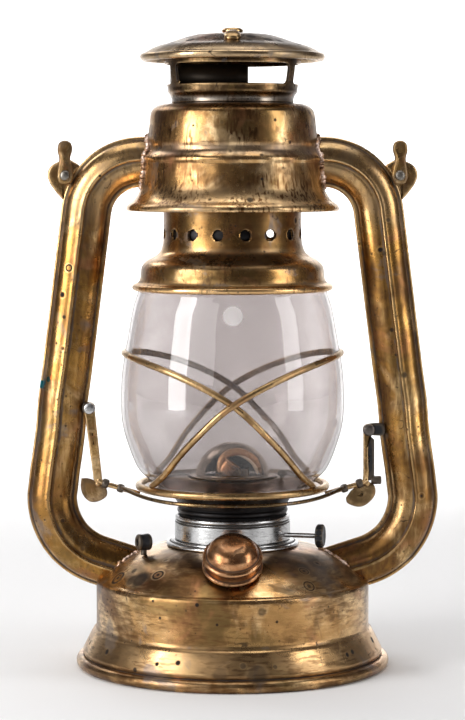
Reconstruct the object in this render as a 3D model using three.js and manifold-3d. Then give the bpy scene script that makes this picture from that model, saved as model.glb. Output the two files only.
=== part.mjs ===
// Tubular oil lantern in aged brass, about 320 mm tall.
// Millimetres, +Z up, the foot rests at zero, the lantern's axis is the Z axis and its front faces -Y.
import * as THREE from "three";
import { mergeVertices } from "three/addons/utils/BufferGeometryUtils.js";
import Module from "manifold-3d";

const wasm = await Module();
wasm.setup();

// Facets of round pieces
const bodySides = 28;
const pieceSides = 20;
const smallSides = 12;
const wireSides = 6;

// Fits and tools
const fit = 0.3;
const slipFit = 0.4;
const overrun = 4;
const weldDistance = 0.001;

// Fount: the oil tank with its flared foot
const sheet = 1.2;
const footRadius = 78.7;
const footBead = 3;
const footFlat = 1.5;
const skirtLowRadius = 75.2;
const skirtLowHeight = 7.6;
const skirtHighRadius = 70.2;
const skirtHighHeight = 18.6;
const fountRadius = 68.5;
const fountLowHeight = 20.2;
const shoulderHeight = 44;
const shoulderRound = 2.4;
const domeRise = 17.6;
const domePowerShare = 4.13;
const collarHole = 26.6;
const tankFloorHeight = 2;

// Filler neck and cap, on an axis that leans forward from the fount's dome
const fillerReach = 52;
const fillerHeight = 57;
const fillerLean = THREE.MathUtils.degToRad(34);
const neckRadius = 11.4;
const neckWall = 1.3;
const neckDepth = 7;
const gasketThick = 1.4;
const gasketWide = 2.4;
const capRadius = 14.6;
const capSkirt = 8.4;
const capDomeRadius = 12.4;
const capDomeRise = 7.5;
const capWall = 1.2;
const capLip = 1.6;
const capGroove = 0.6;

// Burner: steel collar, drum and throat, and the open dome over the wick
const collarRadius = 34.3;
const collarThick = 1.1;
const collarStepRadius = 31.6;
const collarStep = 0.9;
const sleeveDepth = 9;
const drumRadius = 29;
const drumHeight = 12.2;
const drumWall = 1.6;
const grooveDepth = 0.9;
const grooveWidth = 1.2;
const grooveDrop = 4;
const deckThick = 1.2;
const deckDrop = 1.4;
const throatRadius = 22;
const throatWall = 1.3;
const throatRise = 3;
const throatBelow = 4;
const burnerDomeRadius = 18.5;
const burnerDomeRise = 17;
const burnerDomeWall = 0.8;
const burnerRim = 3.3;
const mouthRadius = 11.5;
const mouthRise = 2.5;
const mouthTurn = THREE.MathUtils.degToRad(14);

// Wick, its tube and its raiser, turned a little forward of the X axis
const worksTurn = THREE.MathUtils.degToRad(-12);
const wickWidth = 14;
const wickThick = 2.2;
const wickBottom = 30;
const wickRise = 2;
const wickTubeWall = 0.9;
const wickTubeBottom = 50;
const wickTubeRise = 5.4;
const wheelRadius = 4.6;
const wheelThick = 1.6;
const wheelPlaceShare = 0.3;
const wheelTeeth = 8;
const toothDepthShare = 0.2;
const spindleRadius = 1.2;
const spindleRise = 3.2;
const knobReach = 46;
const knobRadius = 5.6;
const knobThick = 3.6;
const knobKnurls = 12;
const knurlDepthShare = 0.08;
const cowlRadius = 4.6;
const cowlWall = 0.9;
const cowlLength = 7;
const cowlReach = 9.4;
const cowlLean = THREE.MathUtils.degToRad(38);

// Breather on the fount's shoulder
const breatherReach = 47;
const breatherTurn = THREE.MathUtils.degToRad(200);
const breatherHeight = 64;
const breatherRadius = 3.8;
const breatherBore = 2;
const breatherLength = 7;
const breatherStem = 1.6;

// Air tubes: a pressed section with seam beads, carried along two bends
const tubeTopX = 73.1;
const tubeTopZ = 226.8;
const tubeLowX = 90.4;
const tubeLowZ = 88.6;
const tubeHoodZ = 252.7;
const tubeWidth = 25;
const tubeDepth = 20;
const tubeTopBend = 27.5;
const tubeLowBend = 33.5;
const tubeInnerEnd = 36;
const tubeFootDrop = THREE.MathUtils.degToRad(-18);
const bendSteps = 7;

// Hood: the fixed chamber that joins both tubes over the globe
const hoodTop = 281.6;
const hoodNeckGap = 0.5;
const hoodShoulderGap = 7.6;
const hoodShoulderZ = 278;
const hoodWaistZ = 259.2;
const hoodWaistOut = 1.8;
const hoodBeadZ = 255.8;
const hoodBeadRise = 1.2;
const hoodBarrelOut = 2;
const hoodBarrelZ = 252.6;
const hoodBarrelSpread = 0.8;
const hoodBarrelLowZ = 243;
const flareOut = 7.8;
const flareBead = 1.3;
const flareZ = 229.6;

// Bail ears and lugs on the outer bends
const earThick = 3;
const earX = 83.2;
const earZ = 246;
const earRound = 5.6;
const earOut = 4.2;
const lugWidth = 6.6;
const lugThick = 2.2;
const lugRise = 13;
const lugEye = 4.3;
const rivetRadius = 1.5;
const rivetHead = 2.5;
const rivetHeadRise = 1.5;

// Globe and its carriage: plate, guard ring, guard hoops and stirrup wire
const plateSink = 0.6;
const plateThick = 1.4;
const plateInnerRadius = 22.6;
const plateRadius = 43.2;
const plateDish = 1.5;
const ringWire = 1.9;
const ringGap = 0.4;
// The ring lies round the plate's rim
const ringRadius = plateRadius + plateThick + ringGap + ringWire;
const ringRise = 14.65;
const hoopWire = 1.7;
const hoopRise = 67.4;
const stirrupWire = 0.9;
const stirrupFlare = 9.1;
const stirrupWide = ringRadius + stirrupFlare;
const stirrupFront = 9;
const stirrupDrop = 1.2;
const globeWall = 1.8;
const globeSink = 0.2;
const globeTall = 100.2;
const globeBelly = 56;

// Thumb levers that raise the carriage
const leverWide = 4;
const leverThick = 1.8;
const leverEye = 3;
const leftPivotX = -71.6;
const leftPivotZ = 129.8;
const rightPivotX = 68.2;
const rightPivotZ = 119;
const leverFootRise = 4;
const leverFootX = 67.6;
const fingerRadius = 1.3;
const fingerTipX = 46.5;
const fingerTipDrop = 4;
const beadRadius = 2;
const beadLength = 2.6;
const paddleLong = 16.4;
const paddleShort = 11.6;
const paddleThick = 1.6;
const paddleDrop = 5.4;
const paddleTaperShare = 0.16;
const paddleLean = THREE.MathUtils.degToRad(-35);
const outerBeadShare = 0.1;
const innerBeadShare = 0.5;
const bracketThick = 1.8;
const bracketRound = 3.2;
const bracketLap = 2.3;
const screwRadius = 1.3;
const screwHead = 3;
const screwHeadRise = 1.8;

// Chimney: bell, flue, vent collar, baffle and canopy, which lift together
const bellNeckGap = 6.1;
const bellNeckTall = 24;
const bellShoulderOut = 10.1;
const bellShoulderTall = 10.5;
const bellSkirtTall = 11.1;
const bellBeadOut = 5.7;
const bellBeadDrop = 0.2;
const bellBead = 1.7;
const bellWall = 1.2;
const bellHoles = 15;
const bellHoleRadius = 2.4;
const bellHoleRise = 5;
const bellHolePhase = THREE.MathUtils.degToRad(8.5);
const flueWall = 1.2;
const flueInset = 5.8;
const flueDrop = 2;
const ventRadius = 34.2;
const ventTaper = 4.1;
const ventWall = 1.2;
const windowSill = 9;
const windowTall = 10;
const windowSpan = THREE.MathUtils.degToRad(110);
const windowCount = 3;
const baffleSpan = THREE.MathUtils.degToRad(128);
const baffleTurn = THREE.MathUtils.degToRad(229);
const baffleWall = 0.8;
const canopyReach = 11.5;
const canopyLift = 3.9;
const canopyRise = 11.3;
const canopyWall = 1.2;
const canopyBead = 1;
const liftKnobRadius = 5.2;
const liftKnobThick = 2.2;
const liftNeck = 2.2;
const liftNeckRise = 1.2;

// Bell spring inside the hood
const springGap = 4.6;
const springWire = 0.8;
const springTurns = 8;
const springSteps = 8;
const springWireSides = 5;

const finishes = {
  brass: { color: 0xa5803f, roughness: 0.38, metalness: 1 },
  darkBrass: { color: 0x6f5a3c, roughness: 0.5, metalness: 1 },
  copper: { color: 0xa8683a, roughness: 0.36, metalness: 1 },
  steel: { color: 0x9c9da0, roughness: 0.35, metalness: 1 },
  darkSteel: { color: 0x4a4845, roughness: 0.5, metalness: 1 },
  black: { color: 0x1c1c1e, roughness: 0.6, metalness: 0 },
  glass: { color: 0xd9d6dc, roughness: 0.05, metalness: 0 },
  cotton: { color: 0xd8cfb8, roughness: 0.95, metalness: 0 },
};

const lantern = new THREE.Group();

function add(name, geometry, finish, parent = lantern) {
  const mesh = new THREE.Mesh(geometry, new THREE.MeshStandardMaterial(finishes[finish]));
  mesh.name = name;
  parent.add(mesh);
  return mesh;
}

const at = (x, y) => new THREE.Vector2(x, y);

// Points of an arc about a centre, in degrees from one angle to another.
function arc(x, y, radius, from, to, steps) {
  return Array.from({ length: steps + 1 }, (_, i) => {
    const angle = THREE.MathUtils.degToRad(from + ((to - from) * i) / steps);
    return at(x + radius * Math.cos(angle), y + radius * Math.sin(angle));
  });
}

// A solid of revolution about Z from a profile of radius and height that starts and ends on the axis.
function turned(points, sides = bodySides) {
  const area = points.reduce((sum, p, i) => {
    const q = points[(i + 1) % points.length];
    return sum + p.x * q.y - q.x * p.y;
  }, 0);
  const ordered = area < 0 ? [...points].reverse() : points;
  return new THREE.LatheGeometry(ordered, sides).rotateX(Math.PI / 2);
}

// The same from a closed profile that stays off the axis.
const ring = (points, sides) => turned([...points, points[0]], sides);

// A straight tube or, with no bore, a cylinder between two heights.
function pipe(outer, inner, low, high, sides = pieceSides) {
  if (!inner) return turned([at(0, low), at(outer, low), at(outer, high), at(0, high)], sides);
  return ring([at(inner, low), at(outer, low), at(outer, high), at(inner, high)], sides);
}

// A flat plate with its outline in X and Z and its thickness along Y.
function plate(outline, thick, holes = []) {
  const shape = new THREE.Shape(outline);
  shape.holes = holes.map((hole) => new THREE.Path(hole));
  const made = new THREE.ExtrudeGeometry(shape, { depth: thick, bevelEnabled: false });
  return made.rotateX(Math.PI / 2).translate(0, thick / 2, 0);
}

function solidOf(geometry) {
  const plain = geometry.clone();
  plain.deleteAttribute("normal");
  plain.deleteAttribute("uv");
  const merged = mergeVertices(plain, weldDistance);
  const vertProperties = new Float32Array(merged.attributes.position.array);
  const triVerts = new Uint32Array(merged.index.array);
  return new wasm.Manifold(new wasm.Mesh({ numProp: 3, vertProperties, triVerts }));
}

function geometryOf(solid) {
  const mesh = solid.getMesh();
  const made = new THREE.BufferGeometry();
  made.setAttribute("position", new THREE.BufferAttribute(new Float32Array(mesh.vertProperties), 3));
  made.setIndex(new THREE.BufferAttribute(new Uint32Array(mesh.triVerts), 1));
  made.computeVertexNormals();
  return made;
}

const cut = (base, ...tools) =>
  geometryOf(tools.reduce((solid, tool) => solid.subtract(solidOf(tool)), solidOf(base)));
const join = (base, ...more) =>
  geometryOf(more.reduce((solid, piece) => solid.add(solidOf(piece)), solidOf(base)));

// A wire of round section along a curve.
function wire(path, radius, steps, sides = wireSides) {
  const section = new THREE.Shape(arc(0, 0, radius, 0, 360, sides).slice(0, sides));
  return new THREE.ExtrudeGeometry(section, { steps, extrudePath: path });
}

// Height of the fount's dome at a radius: the top less a drop that grows with a power of the radius.
const domeEdge = fountRadius - shoulderRound;
const domeTop = shoulderHeight + domeRise;
const domeHeight = (radius) => domeTop - domeRise * (radius / domeEdge) ** domePowerShare;

// Heights and radii of pieces that stand on, hang from or pass through one another
const collarLow = domeHeight(collarHole) + fit;
const collarTop = collarLow + collarThick;
const stepTop = collarTop + collarStep;
const drumLow = stepTop + fit;
const drumTop = drumLow + drumHeight;
const spindleHeight = drumLow + spindleRise;
const ringHeight = drumTop + ringRise;
const plateTop = ringHeight - plateSink;
const throatTop = ringHeight + throatRise;
const wickTubeTop = throatTop + wickTubeRise;
const wickTop = wickTubeTop + wickRise;
const globeBottom = ringHeight - globeSink;
const globeTop = globeBottom + globeTall;
const hoopTop = ringHeight + hoopRise;
const leverFootZ = ringHeight + leverFootRise;
const fingerTipZ = ringHeight - fingerTipDrop;
const bellBeadZ = globeTop - bellBeadDrop;
const bellShoulderZ = bellBeadZ + bellSkirtTall;
const bellNeckLow = bellShoulderZ + bellShoulderTall;
const bellTop = bellNeckLow + bellNeckTall;
const bellHoleZ = bellNeckLow + bellHoleRise;
const flueRadius = ventRadius - flueInset;
const hoodNeck = flueRadius + hoodNeckGap;
const bellNeck = flueRadius + bellNeckGap;
const bellShoulder = bellNeck + bellShoulderOut;
const bellBeadRadius = bellShoulder + bellBeadOut;
const springRadius = flueRadius + springGap;
const hoodShoulder = springRadius + hoodShoulderGap;
const hoodWaist = hoodShoulder + hoodWaistOut;
const hoodBarrel = hoodWaist + hoodBarrelOut;
const hoodBarrelLow = hoodBarrel + hoodBarrelSpread;
const flareRadius = hoodBarrelLow + flareOut;
const ventWaist = ventRadius - ventTaper;
const ventLow = hoodTop + slipFit;
const windowLow = ventLow + windowSill;
const windowHigh = windowLow + windowTall;
const flueTop = windowLow - flueDrop;
const canopyRadius = ventRadius + canopyReach;
const canopyBrimZ = windowHigh + canopyLift;
const canopyApex = canopyBrimZ + canopyRise;

// Fount profile from the sheet's outer face, drawn in by an inset.
const beadCentre = footRadius - footBead;
const beadHeight = Math.sqrt(footBead ** 2 - footFlat ** 2);
const domeShares = [1, 0.93, 0.83, 0.68];
const innerDomeShares = [1, 0.83, 0.6];
function fountWall(inset, shares) {
  return [
    at(skirtLowRadius - inset, skirtLowHeight),
    at(skirtHighRadius - inset, skirtHighHeight),
    at(fountRadius - inset, fountLowHeight),
    at(fountRadius - inset, shoulderHeight - shoulderRound),
    ...shares.map((share) => at(domeEdge * share - inset * share, domeHeight(domeEdge * share) - inset)),
  ];
}

function makeFount() {
  const outer = [
    at(beadCentre - footFlat, 0),
    ...arc(beadCentre, beadHeight, footBead, -60, 110, 4),
    ...fountWall(0, domeShares),
    at(collarHole, domeHeight(collarHole)),
  ];
  const inner = [
    at(collarHole, domeHeight(collarHole) - sheet),
    ...fountWall(sheet, innerDomeShares).reverse(),
    at(beadCentre - footBead * Math.cos(Math.PI / 6), beadHeight + footBead / 2),
    at(beadCentre - footBead, beadHeight),
  ];
  const shell = ring([...outer, ...inner]);
  const hole = pipe(neckRadius + fit, 0, -neckDepth - overrun, neckDepth);
  leanToFiller(hole);
  return cut(shell, hole);
}

// Moves a piece made about Z onto the filler's leaning axis.
function leanToFiller(geometry) {
  return geometry.rotateX(fillerLean).translate(0, -fillerReach, fillerHeight);
}

function makeTankFloor() {
  const radius = beadCentre - footBead - fit;
  return turned([
    at(0, tankFloorHeight),
    at(radius, tankFloorHeight),
    at(radius, tankFloorHeight + sheet),
    at(0, tankFloorHeight + sheet),
  ]);
}

add("fount_body", makeFount(), "brass");
add("fount_bottom", makeTankFloor(), "brass");

// Filler: a neck through the dome, a gasket on its rim, and a domed screw cap
const filler = new THREE.Group();
filler.position.set(0, -fillerReach, fillerHeight);
filler.rotation.x = fillerLean;
lantern.add(filler);

const gasketTop = capSkirt - capWall - fit;
const gasketLow = gasketTop - gasketThick;
const neckTop = gasketLow - fit;

function makeCap() {
  const bore = neckRadius + slipFit;
  const ridge = capSkirt - capLip;
  const dome = arc(0, 0, 1, 0, 90, 5).map((p) => at(capDomeRadius * p.x, capSkirt + capDomeRise * p.y));
  const inside = arc(0, 0, 1, 90, 30, 3).map((p) =>
    at((capDomeRadius - capWall) * p.x, capSkirt + (capDomeRise - capWall) * p.y),
  );
  inside[0].x = 0;
  dome[dome.length - 1].x = 0;
  return ring(
    [
      at(bore, 0),
      at(capRadius, 0),
      at(capRadius, capLip),
      at(capRadius - capGroove, capLip + capGroove),
      at(capRadius - capGroove, ridge),
      at(capDomeRadius + capGroove, capSkirt),
      ...dome,
      ...inside,
      at(bore, capSkirt - capWall),
    ],
    pieceSides,
  );
}

add("filler_neck", pipe(neckRadius, neckRadius - neckWall, -neckDepth, neckTop), "brass", filler);
add("filler_gasket", pipe(neckRadius, neckRadius - gasketWide, gasketLow, gasketTop), "black", filler);
add("filler_cap", makeCap(), "copper", filler);

// Burner collar, drum, deck and throat, stacked on the fount's dome
const drumBore = drumRadius - drumWall;
const deckTop = drumTop - deckDrop;
const sleeveRadius = collarHole - fit;
const spindleOffset = -(wickThick / 2 + wheelRadius + fit);

function makeCollar() {
  return ring([
    at(sleeveRadius - sheet, collarLow - sleeveDepth),
    at(sleeveRadius, collarLow - sleeveDepth),
    at(sleeveRadius, collarLow),
    at(collarRadius, domeHeight(collarRadius) + fit),
    at(collarRadius, collarTop),
    at(collarStepRadius, collarTop),
    at(collarStepRadius, stepTop),
    at(sleeveRadius - sheet, stepTop),
  ]);
}

function makeDrum() {
  const grooveTop = drumTop - grooveDrop;
  const shell = ring([
    at(drumBore, drumLow),
    at(drumRadius, drumLow),
    at(drumRadius, grooveTop - grooveWidth),
    at(drumRadius - grooveDepth, grooveTop - grooveWidth / 2),
    at(drumRadius, grooveTop),
    at(drumRadius - grooveDepth / 2, drumTop),
    at(drumBore, drumTop),
  ]);
  const hole = pipe(spindleRadius + fit, 0, 0, drumRadius + overrun, smallSides).rotateY(Math.PI / 2);
  hole.translate(0, spindleOffset, spindleHeight).rotateZ(worksTurn);
  return cut(shell, hole);
}

add("burner_collar", makeCollar(), "steel");
add("burner_drum", makeDrum(), "steel");
add(
  "burner_deck",
  pipe(drumBore - fit, throatRadius + fit, deckTop - deckThick, deckTop, bodySides),
  "darkSteel",
);
add(
  "burner_throat",
  pipe(throatRadius, throatRadius - throatWall, deckTop - deckThick - throatBelow, throatTop, bodySides),
  "darkSteel",
);

// The burner's base closes the sleeve and holds the wick tube.
function makeBurnerBase() {
  const radius = sleeveRadius - sheet - fit;
  const low = collarLow - sleeveDepth;
  const disc = pipe(radius, 0, low, low + sheet, bodySides);
  const side = 2 * (wickTubeWall + 2 * fit);
  const slot = new THREE.BoxGeometry(wickWidth + side, wickThick + side, overrun);
  return cut(disc, slot.translate(0, 0, low).rotateZ(worksTurn));
}

add("burner_base", makeBurnerBase(), "steel");

// Burner dome: a pan and a hooded shell over it, open to the front
const panLow = throatTop + fit;
const panTop = panLow + sheet;
const domeLow = panTop + fit;

function makePan() {
  const hole = wickWidth / 2 + wickTubeWall + fit + sheet;
  const rim = burnerDomeRadius + burnerRim;
  return ring(
    [at(hole, panLow), at(rim, panLow), at(rim, panTop), at(hole, panTop)],
    bodySides,
  );
}

function makeBurnerDome() {
  const shape = arc(0, 0, 1, 0, 90, 5);
  const outer = shape.map((p) => at(burnerDomeRadius * p.x, domeLow + burnerDomeRise * p.y));
  const inner = shape.map((p) =>
    at((burnerDomeRadius - burnerDomeWall) * p.x, domeLow + (burnerDomeRise - burnerDomeWall) * p.y),
  );
  outer[outer.length - 1].x = 0;
  inner[inner.length - 1].x = 0;
  const shell = ring([...outer, ...inner.reverse()], pieceSides);
  const mouth = pipe(mouthRadius, 0, 0, burnerDomeRadius + overrun).rotateX(Math.PI / 2);
  mouth.translate(0, 0, domeLow + mouthRise).rotateZ(mouthTurn);
  return cut(shell, mouth);
}

add("burner_pan", makePan(), "darkSteel");
add("burner_dome", makeBurnerDome(), "darkSteel");

// Wick works on their own turned axis: flat tube, cotton wick, spindle with two star wheels, and the knob
const works = new THREE.Group();
works.rotation.z = worksTurn;
lantern.add(works);

function makeWickTube() {
  const width = wickWidth + 2 * (wickTubeWall + fit);
  const thick = wickThick + 2 * (wickTubeWall + fit);
  const height = wickTubeTop - wickTubeBottom;
  const outer = new THREE.BoxGeometry(width, thick, height);
  const bore = new THREE.BoxGeometry(width - 2 * wickTubeWall, thick - 2 * wickTubeWall, height + overrun);
  const slot = new THREE.BoxGeometry(width - 4 * wickTubeWall, thick, 2 * wheelRadius + 2 * fit);
  const middle = (wickTubeTop + wickTubeBottom) / 2;
  outer.translate(0, 0, middle);
  bore.translate(0, 0, middle);
  slot.translate(0, -thick / 2, spindleHeight);
  return cut(outer, bore, slot);
}

function makeWick() {
  const height = wickTop - wickBottom;
  return new THREE.BoxGeometry(wickWidth, wickThick, height).translate(0, 0, (wickTop + wickBottom) / 2);
}

// A disc in Y and Z with a wavy or toothed edge, centred on the X axis.
function toothedDisc(radius, depthShare, teeth, thick) {
  const outline = Array.from({ length: 2 * teeth }, (_, i) => {
    const reach = i % 2 ? radius * (1 - depthShare) : radius;
    const angle = (Math.PI * i) / teeth;
    return at(reach * Math.cos(angle), reach * Math.sin(angle));
  });
  const made = new THREE.ExtrudeGeometry(new THREE.Shape(outline), { depth: thick, bevelEnabled: false });
  return made.translate(0, 0, -thick / 2).rotateY(Math.PI / 2);
}

function makeSpindle() {
  const start = wickWidth * wheelPlaceShare + wheelThick;
  const length = knobReach - knobThick / 2 - fit + start;
  const shaft = pipe(spindleRadius, 0, 0, length, smallSides).rotateY(Math.PI / 2).translate(-start, 0, 0);
  const wheels = [-1, 1].map((side) =>
    toothedDisc(wheelRadius, toothDepthShare, wheelTeeth, wheelThick).translate(
      side * wickWidth * wheelPlaceShare,
      0,
      0,
    ),
  );
  return join(shaft, ...wheels).translate(0, spindleOffset, spindleHeight);
}

function makeKnob() {
  const disc = toothedDisc(knobRadius, knurlDepthShare, knobKnurls, knobThick);
  return disc.translate(knobReach, spindleOffset, spindleHeight);
}

add("wick_tube", makeWickTube(), "brass", works);
add("wick", makeWick(), "cotton", works);
add("wick_spindle", makeSpindle(), "steel", works);
add("wick_knob", makeKnob(), "black", works);

// Copper flame cowl inside the dome's mouth: a short leaning tube with a rolled lip
function makeCowl() {
  const bore = cowlRadius - cowlWall;
  return ring(
    [
      at(bore, 0),
      at(cowlRadius, 0),
      at(cowlRadius, cowlLength - cowlWall),
      at(cowlRadius + cowlWall, cowlLength - cowlWall),
      at(cowlRadius + cowlWall, cowlLength),
      at(bore, cowlLength),
    ],
    pieceSides,
  );
}

function placeCowl(geometry) {
  const lift = cowlRadius * Math.sin(cowlLean);
  return geometry.rotateY(cowlLean).translate(-cowlReach / 2, -cowlReach, panTop + fit + lift);
}

add("flame_cowl", placeCowl(makeCowl()), "copper");

// Breather: a hollow barrel on a stem, on the fount's dome beside the left tube
function makeBreather() {
  const barrel = pipe(breatherRadius, 0, 0, breatherLength, smallSides).rotateY(Math.PI / 2);
  const stemLow = domeHeight(breatherReach - breatherStem) + fit - breatherHeight;
  const stem = pipe(breatherStem, 0, stemLow, 0, smallSides).translate(breatherLength / 2, 0, 0);
  const bore = pipe(breatherBore, 0, breatherLength / 3, breatherLength + overrun, smallSides);
  bore.rotateY(Math.PI / 2);
  const made = cut(join(barrel, stem), bore);
  made.translate(breatherReach - breatherLength / 2, 0, breatherHeight);
  return made.rotateZ(breatherTurn);
}

add("breather", makeBreather(), "black");

// Hood profile from its outer face, grown by a margin. Its flare runs through shares of its reach and height.
const flareShares = [
  [0.33, 0.33],
  [0.125, 0.62],
];

function hoodWall(grow) {
  return [
    at(flareRadius - flareBead + grow, flareZ - flareBead),
    at(flareRadius + grow, flareZ),
    at(flareRadius - flareBead + grow, flareZ + flareBead),
    ...flareShares.map(([out, up]) =>
      at(hoodBarrelLow + (flareRadius - hoodBarrelLow) * out + grow, flareZ + (hoodBarrelLowZ - flareZ) * up),
    ),
    at(hoodBarrelLow + grow, hoodBarrelLowZ),
    at(hoodBarrel + grow, hoodBarrelZ),
    at(hoodBarrel + hoodBeadRise / 2 + grow, hoodBeadZ - hoodBeadRise / 2),
    at(hoodBarrel + grow, hoodBeadZ + hoodBeadRise),
    at(hoodWaist + grow, hoodWaistZ),
    at(hoodShoulder + hoodBeadRise + grow, hoodShoulderZ - (hoodShoulderZ - hoodWaistZ) / 2),
    at(hoodShoulder + hoodBeadRise / 2 + grow, hoodShoulderZ - 2 * hoodBeadRise),
    at(hoodShoulder - hoodBeadRise + grow, hoodShoulderZ + hoodBeadRise / 2),
    at(hoodShoulder - 3 * hoodBeadRise + grow, hoodTop - hoodBeadRise / 2 + grow),
  ];
}

function makeHood() {
  const outer = hoodWall(0);
  const roof = hoodTop - sheet;
  return ring([
    ...outer,
    at(hoodNeck, hoodTop),
    at(hoodNeck, roof),
    at(hoodShoulder - 3 * hoodBeadRise, roof),
    at(hoodShoulder - sheet, hoodShoulderZ - 2 * hoodBeadRise),
    at(hoodWaist - sheet, hoodWaistZ),
    at(hoodBarrel - sheet, hoodBarrelZ),
    at(outer[5].x - sheet, outer[5].y),
    at(outer[3].x - sheet, outer[3].y),
    at(outer[0].x - sheet, outer[0].y),
  ]);
}

add("hood", makeHood(), "brass");

// Centre line of the left air tube, from inside the fount up and over into the hood:
// three straights joined by two arcs, with a share of the stations on each.
const onArc = (centre, radius, angle) => at(radius, 0).rotateAround(at(0, 0), angle).add(centre);

class TubePath extends THREE.Curve {
  constructor() {
    super();
    const lean = Math.atan2(tubeLowX - tubeTopX, tubeTopZ - tubeLowZ);
    const up = Math.PI / 2 - lean;
    const topTurn = up;
    const cornerX = -tubeTopX + (tubeHoodZ - tubeTopZ) * Math.tan(lean);
    const topTangent = tubeTopBend * Math.tan(topTurn / 2);
    const topStart = at(cornerX - topTangent * Math.cos(up), tubeHoodZ - topTangent * Math.sin(up));
    const lowEnd = at(-tubeLowX, tubeLowZ);
    const lowTurn = Math.PI - up + tubeFootDrop;
    const centre = at(lowEnd.x + tubeLowBend * Math.sin(up), lowEnd.y - tubeLowBend * Math.cos(up));
    const angleAtEnd = Math.PI - lean;
    const from = angleAtEnd + lowTurn;
    const startLow = onArc(centre, tubeLowBend, from);
    const outward = at(-Math.sin(from), Math.cos(from));
    const reach = -tubeInnerEnd - startLow.x;
    const foot = at(startLow.x + reach, startLow.y + (reach * outward.y) / outward.x);
    this.stations = [foot, startLow];
    for (let i = 1; i <= bendSteps; i += 1) {
      const angle = from - (lowTurn * i) / bendSteps;
      this.stations.push(onArc(centre, tubeLowBend, angle));
    }
    const topCentre = at(topStart.x + tubeTopBend * Math.sin(up), topStart.y - tubeTopBend * Math.cos(up));
    for (let i = 0; i <= bendSteps; i += 1) {
      const angle = Math.PI - lean - (topTurn * i) / bendSteps;
      this.stations.push(onArc(topCentre, tubeTopBend, angle));
    }
    this.stations.push(at(-tubeInnerEnd, tubeHoodZ));
  }
  getPoint(t, target = new THREE.Vector3()) {
    const place = Math.min(Math.max(t, 0), 1) * (this.stations.length - 1);
    const i = Math.min(Math.floor(place), this.stations.length - 2);
    const p = this.stations[i].clone().lerp(this.stations[i + 1], place - i);
    return target.set(p.x, 0, p.y);
  }
  getPointAt(u, target) {
    return this.getPoint(u, target);
  }
  // The tangent at a station is the mean of the two legs that meet there.
  getTangentAt(u, target = new THREE.Vector3()) {
    const last = this.stations.length - 1;
    const i = Math.round(u * last);
    const before = this.stations[Math.max(i - 1, 0)];
    const after = this.stations[Math.min(i + 1, last)];
    const here = this.stations[i];
    const a = here.clone().sub(before).normalize();
    const b = after.clone().sub(here).normalize();
    const sum = a.add(b).normalize();
    return target.set(sum.x, 0, sum.y);
  }
}

// Half of the tube's section as shares of its depth and width: seam bead, outer panel, ridge, step,
// recessed inner panel and inner seam.
const tubeSectionShares = [
  [0.07, -0.5],
  [0.09, -0.42],
  [0.24, -0.39],
  [0.38, -0.28],
  [0.48, -0.12],
  [0.5, -0.06],
  [0.43, -0.03],
  [0.4, 0.12],
  [0.3, 0.3],
  [0.22, 0.36],
  [0.09, 0.4],
  [0.07, 0.5],
];

function makeTube() {
  const half = tubeSectionShares.map(([depth, width]) => at(depth * tubeDepth, width * tubeWidth));
  const other = half.map((p) => at(-p.x, p.y)).reverse();
  const path = new TubePath();
  const steps = path.stations.length - 1;
  const blank = new THREE.ExtrudeGeometry(new THREE.Shape([...half, ...other]), { steps, extrudePath: path });
  const hoodEnvelope = turned([at(0, flareZ - flareBead), ...hoodWall(fit), at(0, hoodTop)]);
  const fountTop = fountWall(-fit, domeShares);
  const fountEnvelope = turned([
    at(0, skirtLowHeight),
    ...fountTop,
    at(collarHole, domeHeight(collarHole) + fit),
    at(0, domeHeight(collarHole) + fit),
  ]);
  return cut(blank, hoodEnvelope, fountEnvelope);
}

const tube = makeTube();
add("left_air_tube", tube, "brass");
add("right_air_tube", tube.clone(), "brass").rotation.z = Math.PI;

// Bail ears: rounded plates on the tubes' outer bends, each with a rivet that carries the bail lug
function tubeTopCentre() {
  const path = new TubePath();
  const end = path.stations[path.stations.length - 2];
  return at(end.x, end.y - tubeTopBend);
}

function makeEar() {
  const centre = tubeTopCentre();
  const outer = tubeTopBend + tubeWidth / 2 + fit;
  const spread = Math.atan2(earZ - centre.y, -earX - centre.x);
  const middle = THREE.MathUtils.radToDeg(spread);
  const open = THREE.MathUtils.radToDeg((2 * earRound) / outer);
  const round = arc(-earX - earOut / 2, earZ, earRound, 60, 280, 8);
  const inside = arc(centre.x, centre.y, outer, middle + open, middle - open, 8);
  const hole = arc(-earX, earZ, rivetRadius + fit, 0, 360, smallSides).slice(0, smallSides);
  return plate([...round, ...inside], earThick, [hole]);
}

const seamHalf = tubeSectionShares[1][0] * tubeDepth;
const lugPlane = -(seamHalf + fit + lugThick / 2);

function makeRivet() {
  const near = -lugPlane + lugThick / 2 + fit;
  const far = earThick / 2 + fit;
  const pin = pipe(rivetRadius, 0, -near - rivetHeadRise / 2, far + rivetHeadRise / 2, smallSides);
  const front = pipe(rivetHead, 0, -near - rivetHeadRise, -near, smallSides);
  const back = pipe(rivetHead, 0, far, far + rivetHeadRise, smallSides);
  return join(pin, front, back).rotateX(-Math.PI / 2).translate(-earX, 0, earZ);
}

function makeLug() {
  const eye = arc(-earX, earZ, lugEye, 150, 390, 8);
  const top = arc(-earX, earZ + lugRise, lugWidth / 2, 0, 180, 6);
  const hole = arc(-earX, earZ, rivetRadius + fit, 0, 360, smallSides).slice(0, smallSides);
  const made = plate([...eye, ...top], lugThick, [hole]);
  return made.translate(0, lugPlane, 0);
}

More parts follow.
